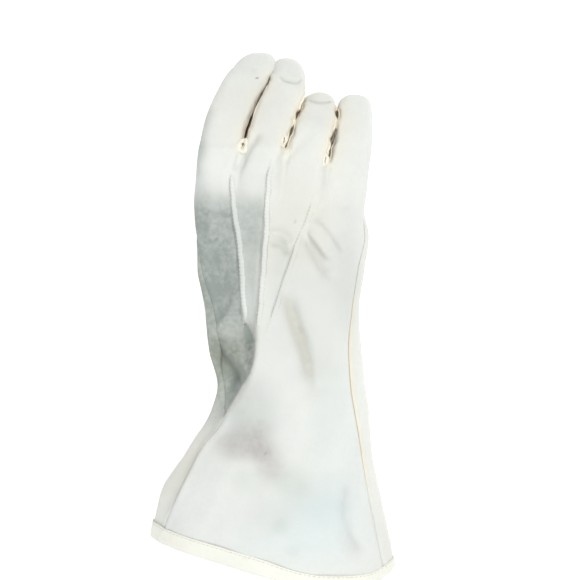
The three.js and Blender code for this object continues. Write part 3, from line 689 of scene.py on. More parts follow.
GAP_SEAM, OPEN_SEAM, QUIET_SHARE = 0.06, 0.5, 0.4  # how deep a seam draws the cloth in
STRIP_ROLL, STRIP_PLACE, STRIP_WIDTH = 0.35, 1.0, 0.8
PANEL_ROLL, PANEL_PLACE, PANEL_WIDTH = 0.28, 2.2, 1.2
PUCKERS = (0.5, 1.1)  # towards the index finger and towards the little finger
PUCKER_SIZE, PUCKER_REACH = 3.2, 2.6
GAP_ENDS = (0.5, 4)
BY_THUMB, NEAR_HEM = (0, -20), (-60, -85)
open_seam = ease(*GAP_ENDS, gap_distance)
quiet_seam = np.maximum(ease(*BY_THUMB, x), ease(*NEAR_HEM, y))
seam_depth = mix(GAP_SEAM, OPEN_SEAM, open_seam) * mix(1, QUIET_SHARE, quiet_seam)
relief -= seam_depth * bell(seam_distance)
relief += STRIP_ROLL * on_strip * bell(seam_distance - STRIP_PLACE, STRIP_WIDTH)
relief += PANEL_ROLL * bell(seam_distance - PANEL_PLACE, PANEL_WIDTH)
puckers = soft_noise(skin.points, PUCKER_SIZE, 3) * mix(*PUCKERS, ease(-8, 2, x))
relief += puckers * bell(gap_distance, PUCKER_REACH)
print("seams drawn in by up to", round(float(seam_depth.max()), 2), "mm")

# %% Lumps, and the whole relief: size, seed and rise
LUMPS = [(17.0, 1, 0.55), (6.5, 2, 0.16)]
ABOVE_TABLE = (1.5, 7)
lumps = sum(soft_noise(skin.points, size, seed) * rise for size, seed, rise in LUMPS)
relief += lumps * ease(*ABOVE_TABLE, z)
skin.points = skin.points + normals * relief[:, None]
skin.points[:, 2] = np.maximum(0, skin.points[:, 2])
normals = point_normals(skin.points, skin.faces)
print("relief from", round(float(relief.min()), 2), "to", round(float(relief.max()), 2), "mm")

# %% [markdown]
# ## Wear, stains and painted shade
#
# White cotton greys where it rubs and yellows at its seams. The shade on the flank by
# the thumb, in creases and folds and inside the gaps between the fingers is painted in
# the same way, as darker colour. A mark is a soft patch with a place, a size and a
# strength, or a line along a fold. The marks are kept as numbers on the mesh's points,
# and the material mixes its colours by them, with noise breaking the edges.

# %% Soft patches: x, y, half width, half length, turn, strength
# The grey patches on the left half of the hand and wrist, and the taupe patch, are painted shade
# over the flank; the others are stains and uneven tone.
PATCHES = {
    "grey": [
        (-29.5, 13, 6, 15, 8, 0.45), (-21, -19, 4, 7, 30, 0.45), (-12, -8, 5, 5, 0, 0.15),
        (-23, -12, 7, 4, 0, 0.35), (-17, -31, 4, 6, 30, 0.2), (-35, 44, 4, 9, 0, 0.2),
        (-35, 59, 5, 9, 0, 0.25), (-35, 84, 4, 5, 0, 0.3), (-24, 24, 14, 28, 6, 0.2),
        (16, 20, 26, 42, -10, 0.15), (38, 28, 7, 34, 0, 0.15), (-11, -43, 15, 18, 0, 0.32),
        (25, -36, 11, 30, 0, 0.1), (14, -88, 26, 16, 0, 0.15),
    ],
    "smudge": [
        (-13, -60.5, 14, 7, 0, 0.95), (-1, -69.5, 7.5, 9, -25, 0.65),
        (-9, -52, 10, 5, 0, 0.35),
    ],
    "green": [
        (11, -79, 8, 9, 0, 0.55), (-11, -77, 9, 6, 0, 0.4), (4, -100, 5, 4, 0, 0.5),
        (10, -112, 4, 3, 0, 0.4), (-43, -75, 3, 14, 30, 0.25), (5, 30, 4, 16, 10, 0.35),
    ],
    "blue": [
        (26, -98, 20, 18, 0, 0.9), (4, -108, 20, 9, 0, 0.4), (34, -60, 14, 30, 0, 0.3),
    ],
    "warm": [
        (-44, -74, 4, 18, 30, 0.6), (-22, -18, 10, 16, 20, 0.8), (14, 42, 18, 22, 0, 0.6),
        (12, -4, 4, 22, -18, 0.4), (-2, 20, 4, 26, 5, 0.4), (20, 66, 26, 14, 0, 0.3),
        (-10, 104, 30, 24, 0, 0.35), (34, 95, 12, 18, 0, 0.4),
    ],
    "taupe": [(-21, -14, 11, 7, -15, 0.35)],
}

# %% Long marks that follow a fold: width, strength, points
# Most long marks are painted shade: in the valleys of folds, along creases and down the left edge
# of the hand, which faces away from the light.
LONG_MARKS = {
    # Taupe: painted shade in the valleys of the soft folds on the back and along the crease down
    # the cuff.
    "taupe": [
        (3.0, 0.35, [(6, 17), (10, 4), (15, -11.5), (19, -32)]),
        (5.0, 0.25, [(8, 14), (12, 1), (15.5, -11.5), (18, -31)]),
        (1.4, 0.3, [(12, 2), (16, -10), (19.5, -22), (20.5, -34)]),
        (2.2, 0.4, [(17, 42), (22, 32), (26.5, 25), (30, 23)]),
        (1.6, 0.5, [(-6.2, 20), (-7.2, 0), (-8, -12), (-11, -27), (-23, -47), (-31, -57)]),
        (1.0, 0.6, [(-24, -48.5), (-34, -60.5), (-42, -75.5), (-49, -89.5), (-54, -101)]),
    ],
    # Painted shade along the crescent fold low on the right of the cuff.
    "smudge": [(1.8, 0.3, [(37, -78), (35, -92), (36.5, -103), (41.5, -112), (46.5, -116)])],
    # Grey: painted shade in the creases of the flank, in fold valleys and creases on the back and
    # fingers, along the flat third tuck, and down the left edge of the index finger and the hand.
    "grey": [
        (1.3, 0.95, [(-36, 27.5), (-33.5, 18.5), (-28.5, 6.5), (-26, -0.5)]),
        (1.3, 0.6, [(-28.5, 10.5), (-25.5, 1.5)]),
        (2.4, 0.25, [(-13, 0), (-12, -5), (-9.5, -11.5)]),
        (3.5, 0.35, [(-38, 68), (-37.5, 80), (-34.5, 95), (-30, 108)]),
        (3.5, 0.5, [(-37.5, 62), (-38, 45), (-37.5, 30), (-36, 15), (-33.5, -2), (-31, -15),
                    (-29.5, -30), (-28.5, -44)]),
        (0.8, 0.4, [(-36.5, 53), (-33.5, 50), (-31.5, 55), (-26, 52.5), (-19, 52)]),
        (0.8, 0.35, [(-37, 47), (-33, 44), (-30, 40), (-25.5, 41)]),
        (0.7, 0.35, [(-29, 33), (-25, 28), (-22.5, 29)]),
        (2.0, 0.5, [(-29, -11), (-23, -14), (-17.5, -22), (-13.5, -31)]),
        (0.6, 0.35, [(11.5, 38.5), (5.1, 19.4), (-0.9, 1.0)]),
        (1.4, 0.3, [(-4.5, 93), (-13, 81), (-18.5, 73)]),
        (0.7, 0.3, [(3, 123.3), (6.5, 119.8), (12, 118.8), (15.8, 121.8)]),
        (0.7, 0.4, [(17.5, 111), (24.5, 109.6), (31, 110.8)]),
        (1.0, 0.2, [(20.5, 51.5), (28, 44), (35, 33)]),
        (1.6, 0.2, [(-1, 37.6), (4.5, 37.5), (8.5, 31.5)]),
    ],
}

# %% Hollows in the gaps, where painted shade starts at the seam; specks: x, y, radius
POCKETS = [
    (-12, 99.5, 5), (-13, 93, 4), (-5.5, 112, 7),
    (11.5, 103.5, 4), (9, 95, 3), (30.5, 91, 5), (30, 105, 5),
]
SPECKS = [(-13, -1.5, 0.5), (-7.5, 121.5, 0.4), (11.5, 49, 0.45), (-3, -64.5, 0.45)]

# %% The flank by the thumb, where shade is painted grey: its right edge and its
# greyness at each row of the hand
flank_at = Table(["edge", "grey", "next_edge", "next_grey"], [
    (-64, -37, 0, -36, 0), (-55, -30.5, 0.15, -30, 0.1), (-46, -23, 0.5, -22.5, 0.3),
    (-32.5, -15, 0.66, -14.5, 0.35), (-24, -9.8, 0.78, -9.5, 0.35), (-12, -7.6, 0.68, -7.4, 0.3),
    (-3, -10, 0.6, -7.2, 0.3), (1, -13.6, 0.7, -7.3, 0.25), (10, -15.1, 0.8, -6.7, 0.2),
    (20, -15.6, 0.76, -6, 0.25), (30.5, -16, 0.66, -5.2, 0.35), (40.5, -17, 0.66, -4.5, 0.5),
    (50.5, -18.6, 0.76, -3.8, 0.6), (57, -20, 0.6, -3.4, 0.45), (66, -20.6, 0.1, -2.6, 0.1),
    (75, -20.6, 0, -1, 0),
])
FLANK_EDGE = 1.2
MARK_ENDS = (0.15, 0.15)


# %% How strong each mark is at some points
def patch_strength(points, patches):
    total = np.zeros(len(points))
    for x, y, wide, tall, turn, strength in patches:
        c, s = math.cos(math.radians(turn)), math.sin(math.radians(turn))
        dx, dy = points[:, 0] - x, points[:, 1] - y
        u, v = (dx * c - dy * s) / wide, (dx * s + dy * c) / tall
        total += strength * np.exp(-((u * u + v * v) ** 1.5))
    return total


def long_strength(points, rows):
    total = np.zeros(len(points))
    for width, strength, line in rows:
        near, offset, along = beside(points[:, 0], points[:, 1], smooth_line(line), width * 3)
        total[near] += strength * faded(along, *MARK_ENDS) * bell(offset, width)
    return total


# Painted shade: grey over the flank left of the first tuck and, more faintly, over the band
# between the first two tucks.
def flank_strength(points):
    row = flank_at(points[:, 1])
    left = ease(0, FLANK_EDGE, row["edge"] - points[:, 0])
    middle = ease(0, FLANK_EDGE, row["next_edge"] - points[:, 0]) * (1 - left)
    return row["grey"] * left + row["next_grey"] * middle


def speck_strength(points):
    far = [(np.hypot(points[:, 0] - x, points[:, 1] - y), r) for x, y, r in SPECKS]
    return sum(bell(distance, r) for distance, r in far)


# %% All the marks at some points
def marks_at(points, up):
    """Marks of the side that faces up; the underside keeps only an even greyness."""
    marks = {name: patch_strength(points, rows) for name, rows in PATCHES.items()}
    for name, rows in LONG_MARKS.items():
        marks[name] = marks[name] + long_strength(points, rows)
    marks["grey"] = marks["grey"] + flank_strength(points)
    marks["speck"] = speck_strength(points)
    return {name: np.clip(values, 0, 1) * up for name, values in marks.items()}


# %% Marks of the skin
FAR = 30.0  # a distance from any seam that leaves no line
QUIET_LINE, GAP_REACH = 0.3, 2.4
upward = ease(-0.25, 0.15, normals[:, 2])
marks = marks_at(skin.points, upward)
marks["seam"] = np.minimum(seam_distance + QUIET_LINE * quiet_seam, FAR)
marks["gap"] = np.exp(-gap_distance / GAP_REACH)
print("marks laid:", ", ".join(marks))

# %% Painted shade inside the gaps, and the yellowed band under the cuff's right seam
DARK_START, DARK_EDGE = 1.5, 0.6
LEAST_DARK, LESS_DARK = 0.25, (3.4, 1.8)  # deep in a gap it is less dark again
BAND_REACH, BAND_RIGHT_OF, BAND_BELOW = 2.2, 20, 100
CUFF_ENDS = (20, 0), (-100, -60)
LIES_UP = 0.1
in_pocket = patch_strength(skin.points, [(x, y, r, r, 0, 1) for x, y, r in POCKETS])
start = mix(DARK_START, 0.0, np.minimum(1, in_pocket))
below = mix(LEAST_DARK, 1.0, ease(*LESS_DARK, seam_distance))
# Painted shade on the strips, where they lie inside the gaps between the fingers.
marks["deep"] = on_strip * ease(start, start + DARK_EDGE, seam_distance) * below
x, y, z = skin.points.T
lies_up = normals[:, 2] > LIES_UP
right_seam = panel_edge & (x > BAND_RIGHT_OF) & (y < BAND_BELOW) & lies_up
band_distance = distance_to(skin.points, skin.points[right_seam])
on_cuff = ease(*CUFF_ENDS[0], y) * ease(*CUFF_ENDS[1], y)
marks["band"] = np.exp(-((band_distance / BAND_REACH) ** 4)) * used["palm"] * on_cuff
MARKS = ["seam", "gap", "band", "deep", *PATCHES, "speck"]
NO_MARK = {"seam": FAR}
print("marks on the cloth:", ", ".join(MARKS))

# %% [markdown]
# ## From skin to cloth
#
# A panel is the outer skin and the same skin a wall's thickness further in, joined
# round the open edge. The Solidify modifier could do this, but it would give each
# panel its own slanted edge. Working from the whole skin's normals makes the edges
# of two neighbours meet.


# %% Faces and open edges of a patch
def clean_faces(quads, places):
    """Quads as lists, with the doubled corners of a pole left out."""
    faces, corners = [], []
    for quad, place in zip(quads.tolist(), places):
        keep = [i for i in range(4) if quad[i] != quad[i - 1]]
        if len(keep) > 2:
            faces.append([quad[i] for i in keep])
            corners.append([place[i] for i in keep])
    return faces, corners


def open_edges(faces):
    edges = set()
    for face in faces:
        for a, b in zip(face, face[1:] + face[:1]):
            if (b, a) in edges:
                edges.remove((b, a))
            else:
                edges.add((a, b))
    return sorted(edges)


# %% Closed cloth from an open patch
LEAST_WALL = 0.8  # share of the wall that is left where the cloth lies on the table


def walled(points, quads, places, outward, wall):
    """Points, faces and places of a closed cloth, its outside first."""
    wall = np.broadcast_to(wall, len(points))
    inner = points - outward * wall[:, None]
    floor = np.minimum(points[:, 2] + wall * LEAST_WALL, wall)
    inner[:, 2] = np.maximum(inner[:, 2], floor)
    n = len(points)
    faces, corners = clean_faces(quads, places)
    place_of = {}
    for face, corner in zip(faces, corners):
        for i, place in zip(face, corner):
            place_of.setdefault(i, place)
    rim = open_edges(faces)
    lining = [[i + n for i in reversed(face)] for face in faces]
    rims = [[b, a, a + n, b + n] for a, b in rim]
    corners = corners + [corner[::-1] for corner in corners]
    corners += [[place_of[b], place_of[a], place_of[a], place_of[b]] for a, b in rim]
    return np.concatenate([points, inner]), faces + lining + rims, corners


# %% Join parts and their marks
def join_parts(parts):
    points, faces, corners, marked = [], [], [], {name: [] for name in MARKS}
    count = 0
    for part_points, part_faces, part_corners, part_marks in parts:
        points.append(part_points)
        faces += [[i + count for i in face] for face in part_faces]
        corners += part_corners
        for name in MARKS:
            values = part_marks.get(name, NO_MARK.get(name, 0.0))
            marked[name].append(np.resize(values, len(part_points)))
        count += len(part_points)
    marked = {name: np.concatenate(values) for name, values in marked.items()}
    return np.concatenate(points), faces, corners, marked


# %% Objects in the scene
def in_scene(name, data):
    obj = bpy.data.objects.new(name, data)
    bpy.context.scene.collection.objects.link(obj)
    return obj


def mesh_in_metres(name, points, edges, faces):
    mesh = bpy.data.meshes.new(name)
    mesh.from_pydata(((points - ORIGIN) * MM).tolist(), edges, faces)
    return mesh


def cloth_object(name, parts):
    points, faces, corners, marked = join_parts(parts)
    mesh = mesh_in_metres(name, points, [], faces)
    layer = mesh.uv_layers.new(name="cloth")
    flat = np.array([place for corner in corners for place in corner], np.float32)
    layer.uv.foreach_set("vector", flat.ravel())
    for key, values in marked.items():
        data = mesh.attributes.new(key, "FLOAT", "POINT").data
        data.foreach_set("value", values.astype(np.float32))
    mesh.shade_smooth()
    print(name, len(faces), "faces")
    return in_scene(name, mesh)


# %% [markdown]
# ## Tucks
#
# A raised tuck is a pinch of cloth sewn along its foot. It is swept along its line as
# a narrow rounded rib that stands square to the cloth, with a shallow dimple at
# every stitch. It belongs to the back panel, so it goes into that panel's mesh.


# %% Where the back lies above a place on the table
NEIGHBOURS, SOFTENING = 6, 0.05
STEEPEST = 0.2  # a steeper place of the cloth is read as if it had this slope


def surface_finder(mask):
    """Finds the skin's point and normal above a place on the table."""
    ids = np.flatnonzero(mask)
    tree = tree_of(skin.points[ids] * (1, 1, 0))

    def find(x, y):
        found = tree.find_n((x, y, 0), NEIGHBOURS)
        rows = ids[[index for _, index, _ in found]]
        weight = np.array([1 / (SOFTENING + far) for _, _, far in found])
        weight /= weight.sum()
        n = normals[rows]
        slope = n[:, 0] * (x - skin.points[rows, 0]) + n[:, 1] * (y - skin.points[rows, 1])
        heights = skin.points[rows, 2] - slope / np.maximum(STEEPEST, n[:, 2])
        normal = (n * weight[:, None]).sum(0)
        return np.array([x, y, float(heights @ weight)]), normal / np.linalg.norm(normal)

    return find


on_back = surface_finder(used["back"] & lies_up)


def line_on_back(line):
    found = [on_back(float(x), float(y)) for x, y in line]
    return np.array([p for p, _ in found]), np.array([n for _, n in found])


def rights_of(points, ups):
    """Directions square to a line, to its right in the cloth."""
    along = np.gradient(points, axis=0)
    right = np.cross(along, ups)
    return right / np.linalg.norm(right, axis=1)[:, None]


# %% Faces round a row of rings
def ring_faces(rings, around, place, closed=False):
    """Faces between rings of points; place tells where each corner lies in the cloth."""
    faces, corners = [], []
    for i in range(rings if closed else rings - 1):
        for j in range(around):
            square = [(i, j), (i + 1, j), (i + 1, j + 1), (i, j + 1)]
            faces.append([a % rings * around + b % around for a, b in square])
            corners.append([place(a, b) for a, b in square])
    return faces, corners


# %% Section of a rib
TUCK_PROFILE = np.array([
    (0.85, -1.2), (1.05, -0.7), (1.1, -0.2), (0.95, 0.3), (0.55, 0.62), (0.0, 0.66),
    (-0.55, 0.46), (-1.0, 0.12), (-1.4, -0.4), (-1.6, -1.0),
])
RIB_PITCH = 0.45  # from point to point of the profile, in the cloth

# %% Sweep the ribs
STITCH = 1.9
TUCK_SINK = 0.5
RIB_ENDS, DIMPLE, END_WIDTH = (6, 9), 0.4, 0.6
RIB_WAVES = [(0.12, 3.1), (0.07, 1.3)]  # how far the rib strays and how long a wave is
# A full rib stands up in the light, so it takes less of the painted shade of the cloth around it.
RIB_MARK_STRENGTH = (1.1, 0.35)  # strength of the marks on a flat rib and on a full one
STITCH_SHADE = 0.35


def rib(line, height):
    """A narrow rounded fold along a line, closed at both ends."""
    points, ups = line_on_back(line)
    rights = rights_of(points, ups)
    length = lengths_along(points)
    fade = ease(0, RIB_ENDS[0], length) * ease(0, RIB_ENDS[1], length[-1] - length)
    at_stitch = np.cos(np.pi * length / STITCH) ** 4
    pull = fade * (1 - DIMPLE * at_stitch)
    wave = sum(far * np.sin(length / long) for far, long in RIB_WAVES)
    across = TUCK_PROFILE[None, :, 0] * mix(END_WIDTH, 1, pull)[:, None] + wave[:, None]
    rise = TUCK_PROFILE[None, :, 1] * height
    rise = np.where(rise > 0, rise * pull[:, None], rise) - TUCK_SINK * (1 - fade)[:, None]
    grid = points[:, None] + rights[:, None] * across[..., None] + ups[:, None] * rise[..., None]
    n, m = grid.shape[:2]

    def place(i, j):
        return RIB_PITCH * j, length[i]

    faces, corners = ring_faces(n, m, place)
    for i, order in ((0, range(m)), (n - 1, reversed(range(m)))):
        faces.append([i * m + j for j in order])
        corners.append([place(i, j) for j in range(m)])
    flat = grid.reshape(-1, 3)
    rib_marks = marks_at(flat, np.full(len(flat), mix(*RIB_MARK_STRENGTH, height)))
    at_foot = ease(0.5, 1.0, TUCK_PROFILE[:, 0])
    # Painted shade in the dimple at each stitch, on the rib's foot beside the stitching.
    rib_marks["deep"] = (STITCH_SHADE * (at_stitch * fade)[:, None] * at_foot).ravel()
    return flat, faces, corners, rib_marks


ribs = [rib(line, height) for line, height in zip(tuck_lines, TUCK_HEIGHTS)]
print("tuck lengths:", [round(float(np.ptp(part[0][:, 1]))) for part in ribs], "mm")


# %% Cut a panel out of a skin
def cut_out(cloth, outward, chosen, wall):
    """The chosen faces of a skin as closed cloth, and which points of the skin it has."""
    quads, places = cloth.faces[chosen], cloth.places[chosen]
    ids, local = np.unique(quads, return_inverse=True)
    wall = np.broadcast_to(wall, len(cloth.points))[ids]
    part = walled(cloth.points[ids], local.reshape(quads.shape), places, outward[ids], wall)
    return ids, part


def area_of(points, faces):
    p = points[faces]
    crossed = np.cross(p[:, 2] - p[:, 0], p[:, 3] - p[:, 1])
    return float(np.linalg.norm(crossed, axis=1).sum() / 2)


def cut_size(owner):
    """Width, length and area of the cloth that a panel is cut from, in metres."""
    mine = skin.owners == owner
    wide, tall = (float(np.ptp(skin.places[mine][..., k])) for k in (0, 1))
    return (wide * MM, tall * MM), area_of(skin.points, skin.faces[mine]) * MM * MM


# %% The back; its wall is thinner where a fingertip is flat
WALL, STRIP_WALL, TIP_WALL = 1.2, 1.0, 0.2
TIPS_ABOVE, TIP_REACH = 95, 4
tip_seam = panel_edge & (skin.points[:, 1] > TIPS_ABOVE)
tip_distance = distance_to(skin.points, skin.points[tip_seam])
wall_share = mix(TIP_WALL, 1.0, ease(0, TIP_REACH, tip_distance))


def panel_part(owner, wall, keep=True):
    ids, part = cut_out(skin, normals, (skin.owners == owner) & keep, wall * wall_share)
    return *part, {name: values[ids] for name, values in marks.items()}


cloth_back = cloth_object("cloth_back", [panel_part("back", WALL), *ribs])

# %% [markdown]
# ## Curls at the crotches
#
# Where a strip folds between two fingers, its end is gathered and shows on the back
# as a small curled ring of cloth. Each one is a soft ring laid on the back's surface,
# and it belongs to the strip.

# %% Lay a curled ring where each gap ends: x, y, half width, half length, thickness
CURLS = [
    (-14.1, 86.1, 1.8, 2.7, 1.25),
    (6.0, 88.6, 0.7, 2.6, 1.1),
    (26.4, 79.6, 0.7, 2.4, 1.1),
]
CURL_COLUMNS, CURL_ROUND, CURL_SINK = 28, 10, 0.3
CURL_LEAN, CURL_FLATNESS, CURL_DROP = 0.15, 0.6, 0.05
# Marks on a curl: the gap mark gives it the lightened yellow tint, and the grey one darkens it a
# little.
CURL_MARKS = {"gap": 0.3, "warm": 0.3, "grey": 0.12}


def curl(x, y, half, tall, thick):
    """An uneven ring of gathered cloth that lies on the back."""
    turns = np.linspace(0, 2 * math.pi, CURL_COLUMNS, endpoint=False)
    lean = CURL_LEAN * tall * np.sin(turns)
    line = np.stack([x + half * np.cos(turns) + lean, y + tall * np.sin(turns)], -1)
    points, ups = line_on_back(line)
    points[:, 2] = mix(points[:, 2], points[:, 2].max(), 0.5) - CURL_SINK
    out = points - points.mean(0)
    out[:, 2] = 0
    out /= np.linalg.norm(out, axis=1)[:, None]
    swell = thick * (1 + 0.22 * np.sin(3 * turns + x) + 0.12 * np.sin(7 * turns))
    rounds = np.linspace(0, 2 * math.pi, CURL_ROUND, endpoint=False)
    height = np.sin(rounds) * swell[:, None] * CURL_FLATNESS - CURL_DROP
    grid = (
        points[:, None]
        + out[:, None] * (np.cos(rounds) * swell[:, None])[..., None]
        + np.array([0, 0, 1.0]) * height[..., None]
    )
    faces, corners = ring_faces(*grid.shape[:2], lambda i, j: (0.5 * i, 0.5 * j), closed=True)
    return grid.reshape(-1, 3), faces, corners, CURL_MARKS


curls = [curl(*row) for row in CURLS]
cloth_strips = [
    cloth_object("strip_" + name, [panel_part(name, STRIP_WALL), ring])
    for name, ring in zip(STRIPS, curls)
]
print("curls:", len(curls))

# %% [markdown]
# ## The thumb and the palm
#
# The thumb is a tube of its own, let into a hole in the palm. Both skins are made
# whole, then the faces that lie inside the other one are left out, so the two
# hollows join as they do in the real glove.


# %% How deep a point lies inside the thumb, and the palm's height
thumb_line = [thumb_tube.section(s) for s in np.linspace(0, 1, 220)]
thumb_rows = {k: np.array([row[k] for row in thumb_line]) for k in (*PATH, "slope")}
ROW_REACH, OUTSIDE = 1.0, -9.0
NO_PALM = 99.0


def depth_in_thumb(points):
    """How deep each point lies inside the thumb, OUTSIDE if it is not level with it."""
    turn = np.radians(thumb_rows["turn"])
    dx = points[:, 0, None] - thumb_rows["x"]
    dy = points[:, 1, None] - thumb_rows["y"]
    ahead = np.abs(dx * np.sin(turn) + dy * np.cos(turn))
    k = ahead.argmin(1)
    own = np.arange(len(points)), k
    u = dx[own] * np.cos(turn[k]) - dy[own] * np.sin(turn[k])
    v = (points[:, 2] - thumb_rows["z"][k]) / np.cos(thumb_rows["slope"][k])
    w, h = thumb_rows["w"][k] / 2, thumb_rows["h"][k] / 2
    out = (np.abs(u / w) ** TUBE_POWER + np.abs(v / h) ** TUBE_POWER) ** (1 / TUBE_POWER)
    return np.where(ahead[own] < ROW_REACH, (1 - out) * np.minimum(w, h), OUTSIDE)


def palm_height(x, y):
    row = body_at(y)
    across = share_across(row, x)
    inside = (across > 0) & (across < 1)
    return np.where(inside, palm_rise(row, np.clip(across, 0, 1)), NO_PALM)


# %% Make the palm with its thumb hole
HOLE_MARGIN, HOLE_BELOW = 1.3, 30
near_thumb = skin.points[:, 1] < HOLE_BELOW
deep = np.where(near_thumb, depth_in_thumb(skin.points), OUTSIDE) > HOLE_MARGIN
hole = deep[skin.faces].all(1)
cloth_palm = cloth_object("cloth_palm", [panel_part("palm", WALL, ~hole)])
print("thumb hole:", int(hole.sum()), "faces left out of the palm")

# %% The thumb's own grid
THUMB_COLUMNS = 88
THUMB_LUMP, THUMB_RISE, MOSTLY_UP = 14.0, 0.35, np.array([0.2, 0.2, 1.0])
rows = np.linspace(0, 1, int(thumb_tube.length / SPACING))
around = np.arange(THUMB_COLUMNS + 1) * 360 / THUMB_COLUMNS
sections = [thumb_tube.section(float(s)) for s in rows] + thumb_tube.tips(16)
thumb_grid = np.stack([section_point(section, around) for section in sections])
thumb_grid[:, -1] = thumb_grid[:, 0]
thumb_lumps = soft_noise(thumb_grid.reshape(-1, 3), THUMB_LUMP, 4)
thumb_lumps = thumb_lumps.reshape(thumb_grid.shape[:2])
thumb_grid += (THUMB_RISE * thumb_lumps)[..., None] * MOSTLY_UP
thumb_grid[..., 2] = np.maximum(0, thumb_grid[..., 2])
print("thumb grid:", *thumb_grid.shape[:2])

# %% Make the thumb
THUMB_WALL = 1.2
thumb_skin = Skin()
thumb_skin.add("thumb", thumb_grid, place_in_cloth(thumb_grid, middle=0), True)
thumb_skin.weld()
x, y, z = thumb_skin.points.T
in_palm = z - palm_height(x, y) > HOLE_MARGIN
shown = ~in_palm[thumb_skin.faces].all(1)
thumb_normals = point_normals(thumb_skin.points, thumb_skin.faces)
_, thumb_part = cut_out(thumb_skin, thumb_normals, shown, THUMB_WALL)
cloth_thumb = cloth_object("cloth_thumb", [(*thumb_part, {"grey": 0.25})])
thumb_area = area_of(thumb_skin.points, thumb_skin.faces[shown])
print("thumb:", round(thumb_area), "square mm of cloth")

# %% [markdown]
# ## The binding at the hem
#
# A cream band is folded over the raw edge of the cuff and stitched down. Its section
# is a flat U of thin cloth with a rolled edge, swept round the hem. The row of
# stitches pulls small dimples into it.

# %% Section of the binding: back from the hem, out of the cuff
BINDING_PROFILE = [
    (5.8, 0.41), (5.5, 0.48), (5.0, 0.52), (4.1, 0.42), (3.0, 0.58), (1.7, 0.62),
    (0.8, 0.55), (0.3, 0.3), (0.05, -0.1), (0.0, -0.6), (0.1, -1.1), (0.4, -1.5),
    (1.0, -1.7), (3.0, -1.7), (4.95, -1.65), (4.95, -1.25), (3.0, -1.2), (1.0, -1.2),
    (0.62, -0.9), (0.55, -0.6), (0.62, -0.3), (1.0, 0.0), (3.0, 0.0), (4.95, 0.02),
]
FOLDED_IN = 16  # from this point on, the profile is the inside of the folded band
LEAST_BAND = 0.45  # height of the band's inside above the table
INNER_PULL, WIDENED_ABOVE = 0.3, 0.4  # the inside dimples less; only the outside is widened

# %% Follow the cuff's edge
BINDING_DEPTH = 5.0
BAND_WIDTHS, BAND_CHANGE = (1.5, 1.0), (-8, 26)
BAND_DIMPLE, BAND_WAVE, WAVE_LENGTH = 0.10, 0.12, 5.3
BINDING_COLUMNS = 420
NUDGE = 0.01
binding_turns = np.arange(BINDING_COLUMNS + 1) * 2 / BINDING_COLUMNS


def round_hem(rows, turns=binding_turns):
    return body_point(turns % 2, rows)


edge = round_hem(HEM_ROW)
edge_length = lengths_along(edge)
along = round_hem(HEM_ROW, binding_turns + NUDGE) - round_hem(HEM_ROW, binding_turns - NUDGE)
outward = np.cross(along, round_hem(HEM_ROW + BINDING_DEPTH) - edge)
outward /= np.linalg.norm(outward, axis=1)[:, None]
wide = mix(*BAND_WIDTHS, ease(*BAND_CHANGE, edge[:, 0]))
pucker = BAND_DIMPLE * np.sin(2 * np.pi * edge_length / STITCH)
pucker = pucker + BAND_WAVE * np.sin(edge_length / WAVE_LENGTH)
print("binding:", round(float(edge_length[-1])), "mm long")

# %% Sweep the binding
columns = []
for n, (back, out) in enumerate(BINDING_PROFILE):
    pull = pucker * (1 if out > 0 else INNER_PULL)
    rows = HEM_ROW + back * np.where(out > WIDENED_ABOVE, wide, 1.0)
    line = round_hem(rows) + outward * (out + pull)[:, None]
    line[:, 2] = np.maximum(LEAST_BAND if n >= FOLDED_IN else 0, line[:, 2])
    columns.append(line)
columns.append(columns[0])
binding_grid = np.stack(columns)
binding_grid[:, -1] = binding_grid[:, 0]
band = Skin()
band.add("binding", binding_grid, place_in_cloth(binding_grid, middle=0), False)
band.weld()
faces, corners = clean_faces(band.faces[:, ::-1], band.places[:, ::-1])  # turned to face out
binding_marks = marks_at(band.points, np.full(len(band.points), 0.2))
cloth_binding = cloth_object("cloth_binding", [(band.points, faces, corners, binding_marks)])

# %% [markdown]
# ## Stitches
#
# Every stitch is the same small bead of thread, so a Geometry Nodes tree sets one
# bead after another along a path. The path carries the cloth's normal as an
# attribute, which lays each bead flat on the cloth. A fixed seed gives each one a
# slightly different length and slant.

# %% Small helpers for building node trees
class Nodes:
    """Makes the nodes of one tree. An input takes a number or another node's socket."""

    def __init__(self, tree):
        self.tree = tree

    def fill(self, sockets, values):
        for name, value in values.items():
            if isinstance(value, bpy.types.NodeSocket):
                self.tree.links.new(value, sockets[name])
            else:
                sockets[name].default_value = value

    def add(self, kind, inputs=(), **settings):
        """A new node, its settings made first, its inputs given by name or number."""
        node = self.tree.nodes.new(kind)
        for name, value in settings.items():
            setattr(node, name, value)
        self.fill(node.inputs, dict(inputs))
        return node

    def between_at_random(self, seed, low, high):
        inputs = {2: low, 3: high, "Seed": seed}
        return self.add("FunctionNodeRandomValue", inputs, data_type="FLOAT").outputs[1]


# %% An empty node group
def new_group(name, family, inputs, outputs):
    """An empty node group: its node maker, its given sockets and the ones it puts out."""
    tree = bpy.data.node_groups.new(name, family + "NodeTree")
    for label, kind, value in inputs:
        kind = "NodeSocket" + kind
        socket = tree.interface.new_socket(label, in_out="INPUT", socket_type=kind)
        if value is not None:
            socket.default_value = value
    for label, kind in outputs:
        tree.interface.new_socket(label, in_out="OUTPUT", socket_type="NodeSocket" + kind)
    given, result = tree.nodes.new("NodeGroupInput"), tree.nodes.new("NodeGroupOutput")
    return Nodes(tree), given.outputs, result.inputs


# %% How each stitch is turned and sized
SLANTS, SIZES = (-0.12, 0.12), (0.88, 1.1)


